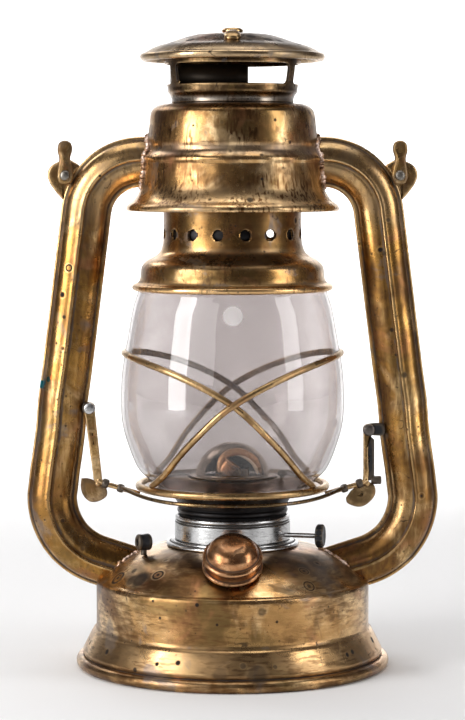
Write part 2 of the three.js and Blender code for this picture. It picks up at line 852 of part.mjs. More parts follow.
// A mirror image of a geometry in the plane between left and right, with its faces kept pointing out.
function mirrored(geometry) {
  const source = geometry.index ? geometry.toNonIndexed() : geometry.clone();
  source.scale(-1, 1, 1);
  const p = source.attributes.position;
  for (let i = 0; i < p.count; i += 3) {
    const [x, y, z] = [p.getX(i), p.getY(i), p.getZ(i)];
    p.setXYZ(i, p.getX(i + 1), p.getY(i + 1), p.getZ(i + 1));
    p.setXYZ(i + 1, x, y, z);
  }
  source.computeVertexNormals();
  return source;
}

const ear = makeEar();
const rivet = makeRivet();
const lug = makeLug();
add("left_bail_ear", ear, "brass");
add("right_bail_ear", mirrored(ear), "brass");
add("left_ear_rivet", rivet, "steel");
add("right_ear_rivet", mirrored(rivet), "steel");
add("left_bail_lug", lug, "brass");
add("right_bail_lug", mirrored(lug), "brass");

// Globe carriage
function makePlate() {
  const low = plateTop - plateThick;
  return ring([
    at(plateInnerRadius, low),
    at(plateRadius, low),
    at(plateRadius + plateThick, low + plateDish),
    at(plateRadius, plateTop + plateDish / 2),
    at(plateRadius - plateDish, plateTop),
    at(plateInnerRadius, plateTop),
  ]);
}

function makeGuardRing() {
  return ring(arc(ringRadius, ringHeight, ringWire, 0, 360, 8).slice(0, 8));
}

// Globe heights and radii as shares of its height and belly, from the seat to the neck.
const globeShares = [
  [0, 0.646],
  [0.031, 0.732],
  [0.073, 0.827],
  [0.2, 0.93],
  [0.34, 0.995],
  [0.435, 1],
  [0.577, 0.989],
  [0.68, 0.96],
  [0.877, 0.897],
  [0.965, 0.848],
  [1, 0.829],
];

// The value that a table of pairs gives for a share between its rows.
function readTable(table, share) {
  const i = Math.max(1, table.findIndex(([from]) => from >= share));
  const [[a, low], [b, high]] = [table[i - 1], table[i]];
  return low + ((high - low) * (share - a)) / (b - a);
}

function globeRadius(height) {
  return globeBelly * readTable(globeShares, (height - globeBottom) / (globeTop - globeBottom));
}

function makeGlobe() {
  const span = globeTop - globeBottom;
  const outer = globeShares.map(([h, r]) => at(globeBelly * r, globeBottom + h * span));
  const inner = outer.map((p) => at(p.x - globeWall, p.y));
  return ring([...outer, ...inner.reverse()]);
}

// A guard hoop: from the ring at the right, round the front of the globe up to its high side at the left,
// and down the back to the ring again. The angle runs from the high side; the height follows shares of
// the distance from the ring to the high side.
const hoopEnd = THREE.MathUtils.degToRad(146);
const hoopShares = [
  [0, 1],
  [0.14, 0.99],
  [0.28, 0.953],
  [0.4, 0.89],
  [0.5, 0.803],
  [0.616, 0.685],
  [0.717, 0.43],
  [0.81, 0.25],
  [0.89, 0.075],
  [1, 0],
];
const crossStandOff = 2 * hoopWire + fit;
const crossingShare = 0.12;

function makeHoop(standOff) {
  const base = ringHeight + ringWire + fit + hoopWire;
  const points = [];
  const span = hoopShares.length - 1;
  for (let i = -span; i <= span; i += 1) {
    const [angleShare, riseShare] = hoopShares[Math.abs(i)];
    const angle = Math.sign(i) * angleShare * hoopEnd;
    const height = base + (hoopTop - base) * riseShare;
    const crossing = Math.exp(-(((angleShare - Math.PI / 2 / hoopEnd) / crossingShare) ** 2));
    const glass = Math.max(globeRadius(height), globeRadius(height + hoopWire));
    const reach = Math.max(glass + fit + hoopWire, ringRadius) + standOff * crossing;
    points.push(new THREE.Vector3(-reach * Math.cos(angle), -reach * Math.sin(angle), height));
  }
  return wire(new THREE.CatmullRomCurve3(points), hoopWire, 44);
}

// The stirrup wire: a bow under the ring's front, wider than the ring at the levers
function makeStirrup() {
  const height = ringHeight - ringWire - fit - stirrupWire;
  const points = Array.from({ length: 9 }, (_, i) => {
    const side = (i - 4) / 4;
    const angle = side * (Math.PI / 2 - Math.asin(stirrupFront / stirrupWide));
    const bow = side ** 4;
    const reach = ringRadius + (stirrupWide - ringRadius) * bow;
    return new THREE.Vector3(reach * Math.sin(angle), -reach * Math.cos(angle), height - stirrupDrop * bow);
  });
  return wire(new THREE.CatmullRomCurve3(points), stirrupWire, 28);
}

add("globe_plate", makePlate(), "darkBrass");
add("guard_ring", makeGuardRing(), "brass");
add("left_guard_hoop", makeHoop(0), "brass");
add("right_guard_hoop", mirrored(makeHoop(crossStandOff)), "brass");
add("stirrup_wire", makeStirrup(), "darkBrass");
add("globe", makeGlobe(), "glass");

// Thumb levers, each on a bracket at its tube's inner edge. Built on the left; the right one is mirrored.
const tubeEdgeX = (height) => {
  const lean = (tubeLowX - tubeTopX) / (tubeTopZ - tubeLowZ);
  return tubeTopX + (tubeTopZ - height) * lean - tubeWidth / 2 / Math.cos(Math.atan(lean));
};

const bracketPlane = -(seamHalf + fit + bracketThick / 2);
const leverPlane = bracketPlane - (bracketThick + leverThick) / 2 - fit;
const fingerFoot = at(-leverFootX + leverWide / 2, leverFootZ - leverWide / 2);
const fingerRun = at(-fingerTipX, fingerTipZ).sub(fingerFoot);

// Lays a piece made along Z from zero on the finger, a share of the way to its tip.
function alongFinger(geometry, share = 0) {
  const angle = Math.atan2(fingerRun.x, fingerRun.y);
  const foot = fingerFoot.clone().addScaledVector(fingerRun, share);
  return geometry.rotateY(angle).translate(foot.x, leverPlane, foot.y);
}

const screwHole = (x, z) => arc(x, z, screwRadius + fit, 0, 360, smallSides).slice(0, smallSides);

function makeLever(pivotX, pivotZ) {
  const half = leverWide / 2;
  const outline = [
    ...arc(pivotX, pivotZ, leverEye, 0, 180, 8),
    at(-leverFootX - half, leverFootZ),
    at(-leverFootX - half / 2, leverFootZ - half),
    at(-leverFootX + half, leverFootZ - half),
    at(-leverFootX + half, leverFootZ + half),
  ];
  const strap = plate(outline, leverThick, [screwHole(pivotX, pivotZ)]).translate(0, leverPlane, 0);
  const finger = alongFinger(pipe(fingerRadius, 0, -half / 2, fingerRun.length(), smallSides));
  const boss = pipe(half, 0, -leverPlane - beadRadius, -leverPlane, smallSides).rotateX(Math.PI / 2);
  boss.translate(-leverFootX, 0, leverFootZ);
  return join(strap, finger, boss);
}

function makeBead(share) {
  const bore = fingerRadius + fit;
  const half = beadLength / 2;
  const bead = ring(
    [at(bore, -half), at(beadRadius, -half), at(beadRadius, half), at(bore, half)],
    smallSides,
  );
  return alongFinger(bead, share);
}

// The thumb paddle: an egg-shaped disc on the back of the lever's foot
function makePaddle() {
  const outline = Array.from({ length: pieceSides }, (_, i) => {
    const t = (i / pieceSides) * 2 * Math.PI;
    const x = (paddleLong / 2) * Math.cos(t);
    const z = (paddleShort / 2) * (1 - paddleTaperShare * Math.cos(t)) * Math.sin(t);
    return at(x, z).rotateAround(at(0, 0), paddleLean);
  });
  const back = leverPlane + beadRadius + fit + paddleThick / 2;
  return plate(outline, paddleThick).translate(-leverFootX - leverWide / 2, back, leverFootZ - paddleDrop);
}

function makeBracket(pivotX, pivotZ) {
  const edge = -tubeEdgeX(pivotZ) - bracketLap;
  const outline = [
    ...arc(pivotX, pivotZ, bracketRound, -90, 90, 6),
    at(edge, pivotZ + bracketRound),
    at(edge, pivotZ - bracketRound),
  ];
  return plate(outline, bracketThick, [screwHole(pivotX, pivotZ)]).translate(0, bracketPlane, 0);
}

function makeScrew(pivotX, pivotZ) {
  const near = -leverPlane + leverThick / 2 + fit;
  const far = -bracketPlane - bracketThick / 2;
  const profile = [
    at(0, far),
    at(screwRadius, far),
    at(screwRadius, near),
    at(screwHead, near),
    at(screwHead, near + screwHeadRise / 2),
    at(0, near + screwHeadRise),
  ];
  return turned(profile, smallSides).rotateX(Math.PI / 2).translate(pivotX, 0, pivotZ);
}

const sides = [
  ["left", leftPivotX, leftPivotZ, (geometry) => geometry],
  ["right", -rightPivotX, rightPivotZ, mirrored],
];
for (const [side, pivotX, pivotZ, place] of sides) {
  add(`${side}_lift_lever`, place(makeLever(pivotX, pivotZ)), "brass");
  add(`${side}_outer_bead`, place(makeBead(outerBeadShare)), "black");
  add(`${side}_inner_bead`, place(makeBead(innerBeadShare)), "black");
  add(`${side}_paddle`, place(makePaddle()), "brass");
  add(`${side}_lever_bracket`, place(makeBracket(pivotX, pivotZ)), "darkBrass");
  add(`${side}_lever_screw`, place(makeScrew(pivotX, pivotZ)), "steel");
}

// Chimney: the bell on the globe, the flue through the hood, the vent collar and the canopy

// Bell outline between its neck and shoulder, as shares of their radii and heights.
const bellShares = [
  [1.2, -0.79],
  [1.08, -0.19],
  [0.94, 0.08],
  [0.71, 0.27],
  [0.37, 0.45],
  [0.12, 0.72],
  [0.01, 1.19],
];

function makeBell() {
  const side = (inset) =>
    bellShares.map(([out, up]) =>
      at(
        bellNeck + (bellShoulder - bellNeck) * out - inset,
        bellShoulderZ + (bellNeckLow - bellShoulderZ) * up - inset / 2,
      ),
    );
  const beadX = bellBeadRadius - bellBead;
  const shell = ring([
    ...arc(beadX, bellBeadZ, bellBead, -90, 60, 3),
    ...side(0),
    at(bellNeck, bellTop),
    at(flueRadius + fit, bellTop),
    at(flueRadius + fit, bellTop - bellWall),
    at(bellNeck - bellWall, bellTop - bellWall),
    ...side(bellWall).reverse(),
    at(beadX - bellBead, bellBeadZ),
  ]);
  const holes = Array.from({ length: bellHoles }, (_, i) => {
    const hole = pipe(bellHoleRadius, 0, bellNeck - overrun, bellNeck + overrun, wireSides);
    return hole
      .rotateX(Math.PI / 2)
      .rotateZ(bellHolePhase + (i / bellHoles) * 2 * Math.PI)
      .translate(0, 0, bellHoleZ);
  });
  return cut(shell, ...holes);
}

// A curved block centred on the front: a stretch of a ring between two heights.
function sector(inner, outer, span, low, high) {
  const from = -90 - THREE.MathUtils.radToDeg(span) / 2;
  const to = -90 + THREE.MathUtils.radToDeg(span) / 2;
  const outline = [...arc(0, 0, outer, from, to, 10), ...arc(0, 0, inner, to, from, 10)];
  const shape = new THREE.Shape(outline);
  return new THREE.ExtrudeGeometry(shape, { depth: high - low, bevelEnabled: false }).translate(0, 0, low);
}

// Canopy outline from apex to brim, as shares of its radius and rise.
const canopyShares = [
  [0.2, 0.995],
  [0.42, 0.94],
  [0.565, 0.77],
  [0.69, 0.593],
  [0.84, 0.416],
  [0.95, 0.25],
];
const canopyHeight = (radius) => canopyBrimZ + canopyRise * readTable(canopyShares, radius / canopyRadius);
const ventTop = canopyHeight(ventRadius) - canopyWall - fit;

function ventSide(inset) {
  return [
    at(ventWaist - inset, ventLow + 2 * ventWall),
    at(ventWaist + ventWall - inset, windowLow - 4 * ventWall),
    at(ventRadius - 1.5 * ventWall - inset, windowLow - 2 * ventWall),
    at(ventRadius - ventWall - inset, windowLow),
    at(ventRadius - inset, windowHigh - ventWall),
    at(ventRadius - inset, ventTop),
  ];
}

function makeVentCollar() {
  const bore = flueRadius + fit;
  const shell = ring([
    at(bore, ventLow),
    at(ventWaist + ventWall / 2, ventLow),
    ...ventSide(0),
    ...ventSide(ventWall).slice(2).reverse(),
    at(bore, windowLow - 3.5 * ventWall),
  ]);
  const windows = Array.from({ length: windowCount }, (_, i) =>
    sector(ventWaist, ventRadius + overrun, windowSpan, windowLow, windowHigh).rotateZ(
      (i / windowCount) * 2 * Math.PI,
    ),
  );
  return cut(shell, ...windows);
}

function makeBaffle() {
  const outer = ventRadius - 2 * (ventWall + slipFit);
  return sector(outer - baffleWall, outer, baffleSpan, windowLow - ventWall, windowHigh + ventWall).rotateZ(
    baffleTurn,
  );
}

function makeCanopy() {
  const hole = liftNeck + fit;
  const top = canopyShares.map(([out, up]) => at(canopyRadius * out, canopyBrimZ + canopyRise * up));
  const under = top.filter((_, i) => i % 2).map((p) => at(p.x, p.y - canopyWall));
  return ring([
    at(hole, canopyApex),
    ...top,
    ...arc(canopyRadius - canopyBead, canopyBrimZ, canopyBead, 60, -150, 4),
    ...under.reverse(),
    at(hole, canopyApex - canopyWall),
  ]);
}

function makeLiftKnob() {
  const low = canopyApex + fit;
  return turned(
    [
      at(0, canopyApex - canopyWall - liftNeckRise),
      at(liftNeck, canopyApex - canopyWall - liftNeckRise),
      at(liftNeck, low + liftNeckRise / 2),
      at(liftKnobRadius - liftKnobThick / 3, low + liftNeckRise / 2),
      at(liftKnobRadius, low + liftNeckRise / 2 + liftKnobThick / 3),
      at(liftKnobRadius - liftKnobThick / 3, low + liftKnobThick),
      at(0, low + liftNeckRise / 2 + liftKnobThick),
    ],
    pieceSides,
  );
}

add("bell", makeBell(), "brass");
add("flue", pipe(flueRadius, flueRadius - flueWall, bellTop - overrun, flueTop, bodySides), "darkSteel");
add("vent_collar", makeVentCollar(), "darkBrass");
add("draft_baffle", makeBaffle(), "black");
add("canopy", makeCanopy(), "darkBrass");
add("lift_knob", makeLiftKnob(), "darkBrass");

// The bell spring: a coil round the flue, from the bell's top plate to the hood's roof
class CoilPath extends THREE.Curve {
  getPoint(t, target = new THREE.Vector3()) {
    const low = bellTop + fit + springWire;
    const high = hoodTop - sheet - fit - springWire;
    const angle = t * springTurns * 2 * Math.PI;
    return target.set(springRadius * Math.cos(angle), springRadius * Math.sin(angle), low + (high - low) * t);
  }
}

// Least gap between neighbouring turns of the coil, measured on points a turn or more apart.
function leastCoilGap(points, stepsPerTurn) {
  let least = Infinity;
  for (let i = 0; i < points.length; i += 1) {
    for (let j = i + stepsPerTurn - 1; j < points.length; j += 1) {
      least = Math.min(least, points[i].distanceTo(points[j]) - 2 * springWire);
    }
  }
  return least;
}

const coil = new CoilPath();
const coilSteps = springTurns * springSteps;
const coilGap = leastCoilGap(coil.getSpacedPoints(coilSteps), springSteps);
console.log(`bell spring: least gap ${coilGap.toFixed(2)} mm`);
add("bell_spring", wire(coil, springWire, coilSteps, springWireSides), "steel");

export default lantern;
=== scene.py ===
import math
import bpy
import numpy as np
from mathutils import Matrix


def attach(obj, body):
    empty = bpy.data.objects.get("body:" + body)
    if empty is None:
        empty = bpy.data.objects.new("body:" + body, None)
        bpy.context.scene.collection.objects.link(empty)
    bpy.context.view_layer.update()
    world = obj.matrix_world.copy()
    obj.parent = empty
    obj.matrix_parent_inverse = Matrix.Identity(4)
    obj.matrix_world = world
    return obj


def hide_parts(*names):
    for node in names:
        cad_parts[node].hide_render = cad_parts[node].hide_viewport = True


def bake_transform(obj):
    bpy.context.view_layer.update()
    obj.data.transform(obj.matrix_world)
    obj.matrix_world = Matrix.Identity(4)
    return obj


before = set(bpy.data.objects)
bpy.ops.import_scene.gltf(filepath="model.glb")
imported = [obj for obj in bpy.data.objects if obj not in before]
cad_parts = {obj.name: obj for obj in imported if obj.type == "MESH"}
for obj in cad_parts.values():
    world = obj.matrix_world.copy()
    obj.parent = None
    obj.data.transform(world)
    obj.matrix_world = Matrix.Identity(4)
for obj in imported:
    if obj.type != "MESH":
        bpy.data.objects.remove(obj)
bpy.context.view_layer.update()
print("frame loaded")

# Shapes are worked out in millimetres and stored in metres, +Z up, with the front towards -Y.
milli = 0.001
turn = 2 * math.pi


# Points a step apart along a smooth curve through the given ones: cubic between neighbours, with the slope
# at each point weighed from the chords on both sides.
def spline(points, step):
    p = np.asarray(points, float)
    gaps = np.maximum(np.linalg.norm(np.diff(p, axis=0), axis=1), 1e-6)
    slopes = np.diff(p, axis=0) / gaps[:, None]
    tangents = np.vstack([slopes[:1], slopes[:-1], slopes[-1:]])[: len(p)]
    if len(p) > 2:
        before, after = gaps[:-1, None], gaps[1:, None]
        inner = (slopes[:-1] * after + slopes[1:] * before) / (before + after)
        tangents = np.vstack([slopes[:1], inner, slopes[-1:]])
    made = []
    for i, gap in enumerate(gaps):
        count = max(2, int(round(gap / step)))
        t = np.linspace(0, 1, count, endpoint=False)[:, None]
        made.append(
            (2 * t ** 3 - 3 * t ** 2 + 1) * p[i] + (t ** 3 - 2 * t ** 2 + t) * gap * tangents[i]
            + (3 * t ** 2 - 2 * t ** 3) * p[i + 1] + (t ** 3 - t ** 2) * gap * tangents[i + 1]
        )
    return np.vstack([*made, p[-1:]])


# The same points averaged over a number of neighbours, with both ends left in place.
def eased(points, count):
    kernel = np.hanning(count + 2)[1:-1]
    kernel /= kernel.sum()
    half = count // 2
    smooth = points.copy()
    for axis in range(points.shape[1]):
        padded = np.pad(points[:, axis], half, mode="reflect", reflect_type="odd")
        smooth[:, axis] = np.convolve(padded, kernel, mode="valid")
    return smooth


# A closed curve through the points, without its last point, which is the first again.
def closedCurve(points, step):
    return spline([*points, points[0]], step)[:-1]


# Smooth stretches joined at hard corners. Each one after the first starts where the last one ended, and two
# points make a straight one.
def runs(step, *parts):
    joined = []
    for part in parts:
        points = np.vstack([*[made[-1:] for made in joined[-1:]], part])
        joined.append(spline(points, step) if len(points) > 2 else straight(points, step))
    return np.vstack([joined[0], *[part[1:] for part in joined[1:]]])


# Points a step apart from one end to the other.
def straight(ends, step):
    a, b = np.asarray(ends, float)
    count = max(2, int(round(np.linalg.norm(b - a) / step)) + 1)
    return a + (b - a) * np.linspace(0, 1, count)[:, None]


# Points on an arc round a middle, between two angles in degrees.
def arcPoints(x, z, radius, start, stop, count):
    angles = np.radians(np.linspace(start, stop, count))
    return np.stack([x + radius * np.cos(angles), z + radius * np.sin(angles)], axis=1)


# The same curve moved sideways by its wall, to the left of its direction.
def offset(profile, wall):
    along = np.gradient(profile, axis=0)
    along /= np.maximum(np.linalg.norm(along, axis=1, keepdims=True), 1e-9)
    return profile + wall * np.stack([-along[:, 1], along[:, 0]], axis=1)


# Quads of a grid of points, with rows or columns that may close on themselves.
def gridFaces(rows, columns, closeRows, closeColumns):
    i = np.arange(rows if closeRows else rows - 1)[:, None]
    j = np.arange(columns if closeColumns else columns - 1)[None, :]
    down, right = (i + 1) % rows, (j + 1) % columns
    return np.stack(
        [i * columns + j, i * columns + right, down * columns + right, down * columns + j], axis=2
    ).reshape(-1, 4)


# The sum of the crossed diagonals of the quads round each point, at length one.
def vertexNormals(points, faces):
    corners = points[faces]
    normals = np.cross(corners[:, 2] - corners[:, 0], corners[:, 3] - corners[:, 1])
    total = np.zeros_like(points)
    for k in range(4):
        np.add.at(total, faces[:, k], normals)
    return total / np.maximum(np.linalg.norm(total, axis=1, keepdims=True), 1e-12)


# How convex the surface is at each point, over about a millimetre: the turn of the normals along each edge
# over its length, averaged over neighbours. It is above zero on ridges and below in hollows.
def ridgeValues(points, faces, rounds=5):
    normals = vertexNormals(points, faces)
    edges = np.vstack([faces[:, [k, (k + 1) % 4]] for k in range(4)])
    edges = np.unique(np.sort(edges, axis=1), axis=0)
    edges = edges[edges[:, 0] != edges[:, 1]]
    a, b = edges[:, 0], edges[:, 1]
    way = points[b] - points[a]
    bend = np.sum((normals[b] - normals[a]) * way, axis=1) / np.maximum(np.sum(way * way, axis=1), 0.01)
    count = np.bincount(a, minlength=len(points)) + np.bincount(b, minlength=len(points))
    count = np.maximum(count, 1)
    value = (np.bincount(a, bend, len(points)) + np.bincount(b, bend, len(points))) / count
    for _ in range(rounds):
        around = np.bincount(a, value[b], len(points)) + np.bincount(b, value[a], len(points))
        value = 0.4 * value + 0.6 * around / count
    return np.clip(2.2 * value, -1, 1)


# A mesh of quads in metres, with its ridge values, on a body. It takes the place of the replaced nodes.
def addPiece(name, points, quads, body, slot, material, replaced=()):
    mesh = bpy.data.meshes.new(name)
    mesh.vertices.add(len(points))
    mesh.vertices.foreach_set("co", (points * milli).ravel())
    mesh.loops.add(quads.size)
    mesh.loops.foreach_set("vertex_index", quads.astype(np.int32).ravel())
    mesh.polygons.add(len(quads))
    mesh.polygons.foreach_set("loop_start", np.arange(0, quads.size, 4, dtype=np.int32))
    mesh.update(calc_edges=True)
    mesh.validate()
    mesh.polygons.foreach_set("use_smooth", np.ones(len(mesh.polygons), bool))
    ridge = mesh.attributes.new("ridge", "FLOAT", "POINT")
    ridge.data.foreach_set("value", ridgeValues(points, quads).astype(np.float32))
    mesh.materials.append(material)
    piece = bpy.data.objects.new(name, mesh)
    bpy.context.scene.collection.objects.link(piece)
    if replaced:
        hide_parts(*replaced)
    if body:
        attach(piece, body)
    return piece


# Several grids of points and faces as one mesh.
def merged(*grids):
    points, faces, start = [], [], 0
    for p, f in grids:
        points.append(p)
        faces.append(f + start)
        start += len(p)
    return np.vstack(points), np.vstack(faces)


# A slow random ripple that closes round the axis, from a few waves of angle and height.
def ripple(angle, height, seed, size):
    rng = np.random.default_rng(seed)
    total = np.zeros(np.broadcast(angle, height).shape)
    for _ in range(9):
        waves = rng.integers(1, 9)
        total = total + rng.normal() / math.sqrt(waves) * np.sin(
            waves * angle + rng.uniform(0, turn) + height * rng.uniform(-0.22, 0.22)
        )
    return size * total / 3


# A surface of revolution from a profile of radius and height: X and Y are the radius times the angle's
# cosine and sine. With a wall it is a closed shell, whose inner side is the profile moved inwards, and
# windows may open it.
def revolved(profile, sides, wall=0, windows=None, seed=0, dent=0, snap=None):
    profile = np.asarray(profile, float)
    outerRows = len(profile)
    if wall:
        profile = np.vstack([profile, offset(profile, wall)[::-1]])
    rows = len(profile)
    around = np.repeat(np.arange(sides)[None, :] * turn / sides, rows, axis=0)
    radius = np.repeat(profile[:, :1], sides, axis=1)
    height = np.repeat(profile[:, 1:], sides, axis=1)
    if dent:
        radius = radius + ripple(around, height, seed, dent) * np.minimum(1, radius / 8)
    if snap is not None:
        around, height = snap(around, height, radius)
    points = np.stack([radius * np.cos(around), radius * np.sin(around), height], axis=2).reshape(-1, 3)
    faces = gridFaces(rows, sides, bool(wall), True)
    if windows is not None:
        faces = cutWindows(points, faces, rows, outerRows, windows)
    return points, faces


# Drops the faces of a shell whose middle is in a window, on both sides, and joins both edges by walls.
def cutWindows(points, faces, rows, outerRows, windows):
    sides = len(faces) // rows
    cut = windows(points[faces].mean(axis=1)).reshape(rows, sides)[: outerRows - 1]
    keep = np.ones((rows, sides), bool)
    keep[: outerRows - 1] = ~cut
    keep[rows - outerRows: rows - 1] &= ~cut[::-1]
    padded = np.pad(cut, ((1, 1), (0, 0)))
    # Where each kind of wall stands, and its corners: steps down and to the right from the cut face, and
    # whether the corner is the twin on the inner side, which lies as many rows from the other end.
    walls = (
        (cut & ~np.roll(cut, -1, axis=1), ((0, 1, False), (0, 1, True), (1, 1, True), (1, 1, False))),
        (cut & ~np.roll(cut, 1, axis=1), ((1, 0, False), (1, 0, True), (0, 0, True), (0, 0, False))),
        (cut & ~padded[2:], ((1, 0, True), (1, 1, True), (1, 1, False), (1, 0, False))),
        (cut & ~padded[:-2], ((0, 0, False), (0, 1, False), (0, 1, True), (0, 0, True))),
    )
    made = [faces.reshape(rows, sides, 4)[keep]]
    for chosen, corners in walls:
        row, column = np.nonzero(chosen)
        made.append(np.stack([
            (rows - 1 - row - down if twin else row + down) * sides + (column + right) % sides
            for down, right, twin in corners
        ], 1))
    return np.vstack(made)


# A section carried along a path: each point is the path's, plus its size to the side times the side vector,
# plus its size upwards times the up vector, which is square to the path and the side.
def swept(path, section, side, closed=False, scales=None):
    path = np.asarray(path, float)
    along = np.gradient(path, axis=0) if not closed else np.roll(path, -1, 0) - np.roll(path, 1, 0)
    along /= np.linalg.norm(along, axis=1, keepdims=True)
    side = np.broadcast_to(np.asarray(side, float), path.shape)
    side = side - along * np.sum(side * along, axis=1, keepdims=True)
    side /= np.linalg.norm(side, axis=1, keepdims=True)
    up = np.cross(along, side)
    scales = np.ones(len(path)) if scales is None else np.asarray(scales)
    section = np.asarray(section, float)
    points = (
        path[:, None, :]
        + side[:, None, :] * section[None, :, :1] * scales[:, None, None]
        + up[:, None, :] * section[None, :, 1:2] * scales[:, None, None]
    )
    return points.reshape(-1, 3), gridFaces(len(path), len(section), closed, True)


# Closes both ends of a swept grid with fans of quads to each end's middle.
def endCaps(points, faces, rows, columns):
    fans = []
    for row in (0, rows - 1):
        ringPoints = points[row * columns:(row + 1) * columns]
        points = np.vstack([points, ringPoints.mean(axis=0)])
        middle = len(points) - 1
        j = np.arange(0, columns, 2)
        index = row * columns
        fan = np.stack(
            [np.full(len(j), middle), index + j, index + (j + 1) % columns, index + (j + 2) % columns], 1
        )
        fans.append(fan[:, ::-1] if row == 0 else fan)
    return points, np.vstack([faces, *fans])


# A circle about zero as a section.
def circle(radius, count):
    angles = np.arange(count) * turn / count
    return np.stack([radius * np.cos(angles), radius * np.sin(angles)], axis=1)


# Places round the lamp's axis, from their radii, angles and heights.
def onCircle(radius, angles, height):
    return np.stack(
        [radius * np.cos(angles), radius * np.sin(angles), np.broadcast_to(height, angles.shape)], axis=1
    )


# A circle carried along a path, with closed ends.
def rod(path, radius, count, closed=False, side=(0, 0, 1), scales=None):
    points, faces = swept(path, circle(radius, count), side, closed=closed, scales=scales)
    if closed:
        return points, faces
    return endCaps(points, faces, len(path), count)


# A thin upright sheet bent round the axis between two angles in degrees, closed at both ends.
def bentSheet(radius, start, stop, count, middle, tall, thick):
    path = onCircle(radius, np.radians(np.linspace(start, stop, count)), middle)
    section = np.array([(-tall, -thick), (tall, -thick), (tall, thick), (-tall, thick)]) / 2
    return endCaps(*swept(path, section, (0, 0, 1)), count, 4)


# A plate with rounded edges, from an outline in X and Z. The outline moves inwards over a quarter round on
# both faces, and each face closes to its middle by shares of the way, bulging by the sine of the share.
def plateOf(outline, thick, roundness, y=0, bulge=0):
    outline = np.asarray(outline, float)
    count = len(outline)
    centre = outline.mean(axis=0)
    along = np.roll(outline, -1, 0) - np.roll(outline, 1, 0)
    along /= np.linalg.norm(along, axis=1, keepdims=True)
    area = np.sum(outline[:, 0] * np.roll(outline[:, 1], -1) - np.roll(outline[:, 0], -1) * outline[:, 1])
    inward = np.stack([-along[:, 1], along[:, 0]], axis=1) * np.sign(area)
    quarter = np.radians([90, 67, 45, 22, 0])
    insets, depths = roundness * (1 - np.cos(quarter)), thick / 2 - roundness * (1 - np.sin(quarter))
    rings = []
    for inset, depth in [*zip(insets, -depths), *zip(insets[::-1], depths[::-1])]:
        moved = outline + inward * inset
        rings.append(np.stack([moved[:, 0], np.full(count, y + depth), moved[:, 1]], 1))
    for side, edge in ((-1, rings[0]), (1, rings[-1])):
        face = []
        for share in (0.3, 0.6, 0.85):
            moved = edge * (1 - share) + np.array([centre[0], edge[0, 1], centre[1]]) * share
            moved[:, 1] += side * bulge * math.sin(share * math.pi / 2)
            face.append(moved)
        rings = face[::-1] + rings if side < 0 else rings + face
    faces = gridFaces(len(rings), count, False, True)
    if area > 0:
        faces = faces[:, ::-1]
    points, faces = endCaps(np.vstack(rings), faces, len(rings), count)
    return points, faces if area > 0 else faces[:, ::-1]


# The same shape on the other side, its faces turned round so that they still look outwards.
def mirrorX(grid):
    points, faces = grid
    return points * np.array([-1, 1, 1]), faces[:, ::-1]


# The same shape turned half round the lamp's axis.
def halfTurned(grid):
    points, faces = grid
    return points * np.array([-1, -1, 1]), faces


# A shape turned about the vertical laid down with its axis to the front, its start at a depth.
def facingFront(grid, x, z, y):
    points, faces = grid
    return np.stack([points[:, 0] + x, points[:, 2] + y, z - points[:, 1]], 1), faces


# The same laid down along X.
def alongX(points):
    return np.stack([points[:, 2], points[:, 0], points[:, 1]], 1)


# Each point turned about an axis: its part along the axis stays, and the rest turns by the angle.
def turnedAbout(points, axis, angle):
    axis = np.asarray(axis, float)
    c, s = math.cos(angle), math.sin(angle)
    return points * c + np.cross(axis, points) * s + axis * (points @ axis)[:, None] * (1 - c)


# Shader sums: a Tone is one output of a node tree, and arithmetic on it adds nodes.
class Tone:
    def __init__(self, net, socket):
        self.net, self.socket = net, socket

    def maths(self, kind, *others, clamp=False):
        return self.net.node("Math", [self, *others], operation=kind, use_clamp=clamp)

    def __add__(self, other):
        return self.maths("ADD", other)

    def __radd__(self, other):
        return self.maths("ADD", other)

    def __mul__(self, other):
        return self.maths("MULTIPLY", other)

    def __rmul__(self, other):
        return self.maths("MULTIPLY", other)

    def __sub__(self, other):
        return self.maths("SUBTRACT", other)

    def __rsub__(self, other):
        return self.net.node("Math", [other, self], operation="SUBTRACT")

    # Zero below low, one above high, smooth between.
    def rise(self, low, high):
        return self.net.node("MapRange", [self, low, high, 0.0, 1.0], interpolation_type="SMOOTHSTEP")

    def most(self, other):
        return self.maths("MAXIMUM", other)

    def held(self):
        return self.maths("ADD", 0.0, clamp=True)

    # One where the value is within a width of the middle, falling off smoothly on both sides.
    def line(self, middle, width):
        return 1.0 - (self - middle).maths("ABSOLUTE").rise(width * 0.3, width)


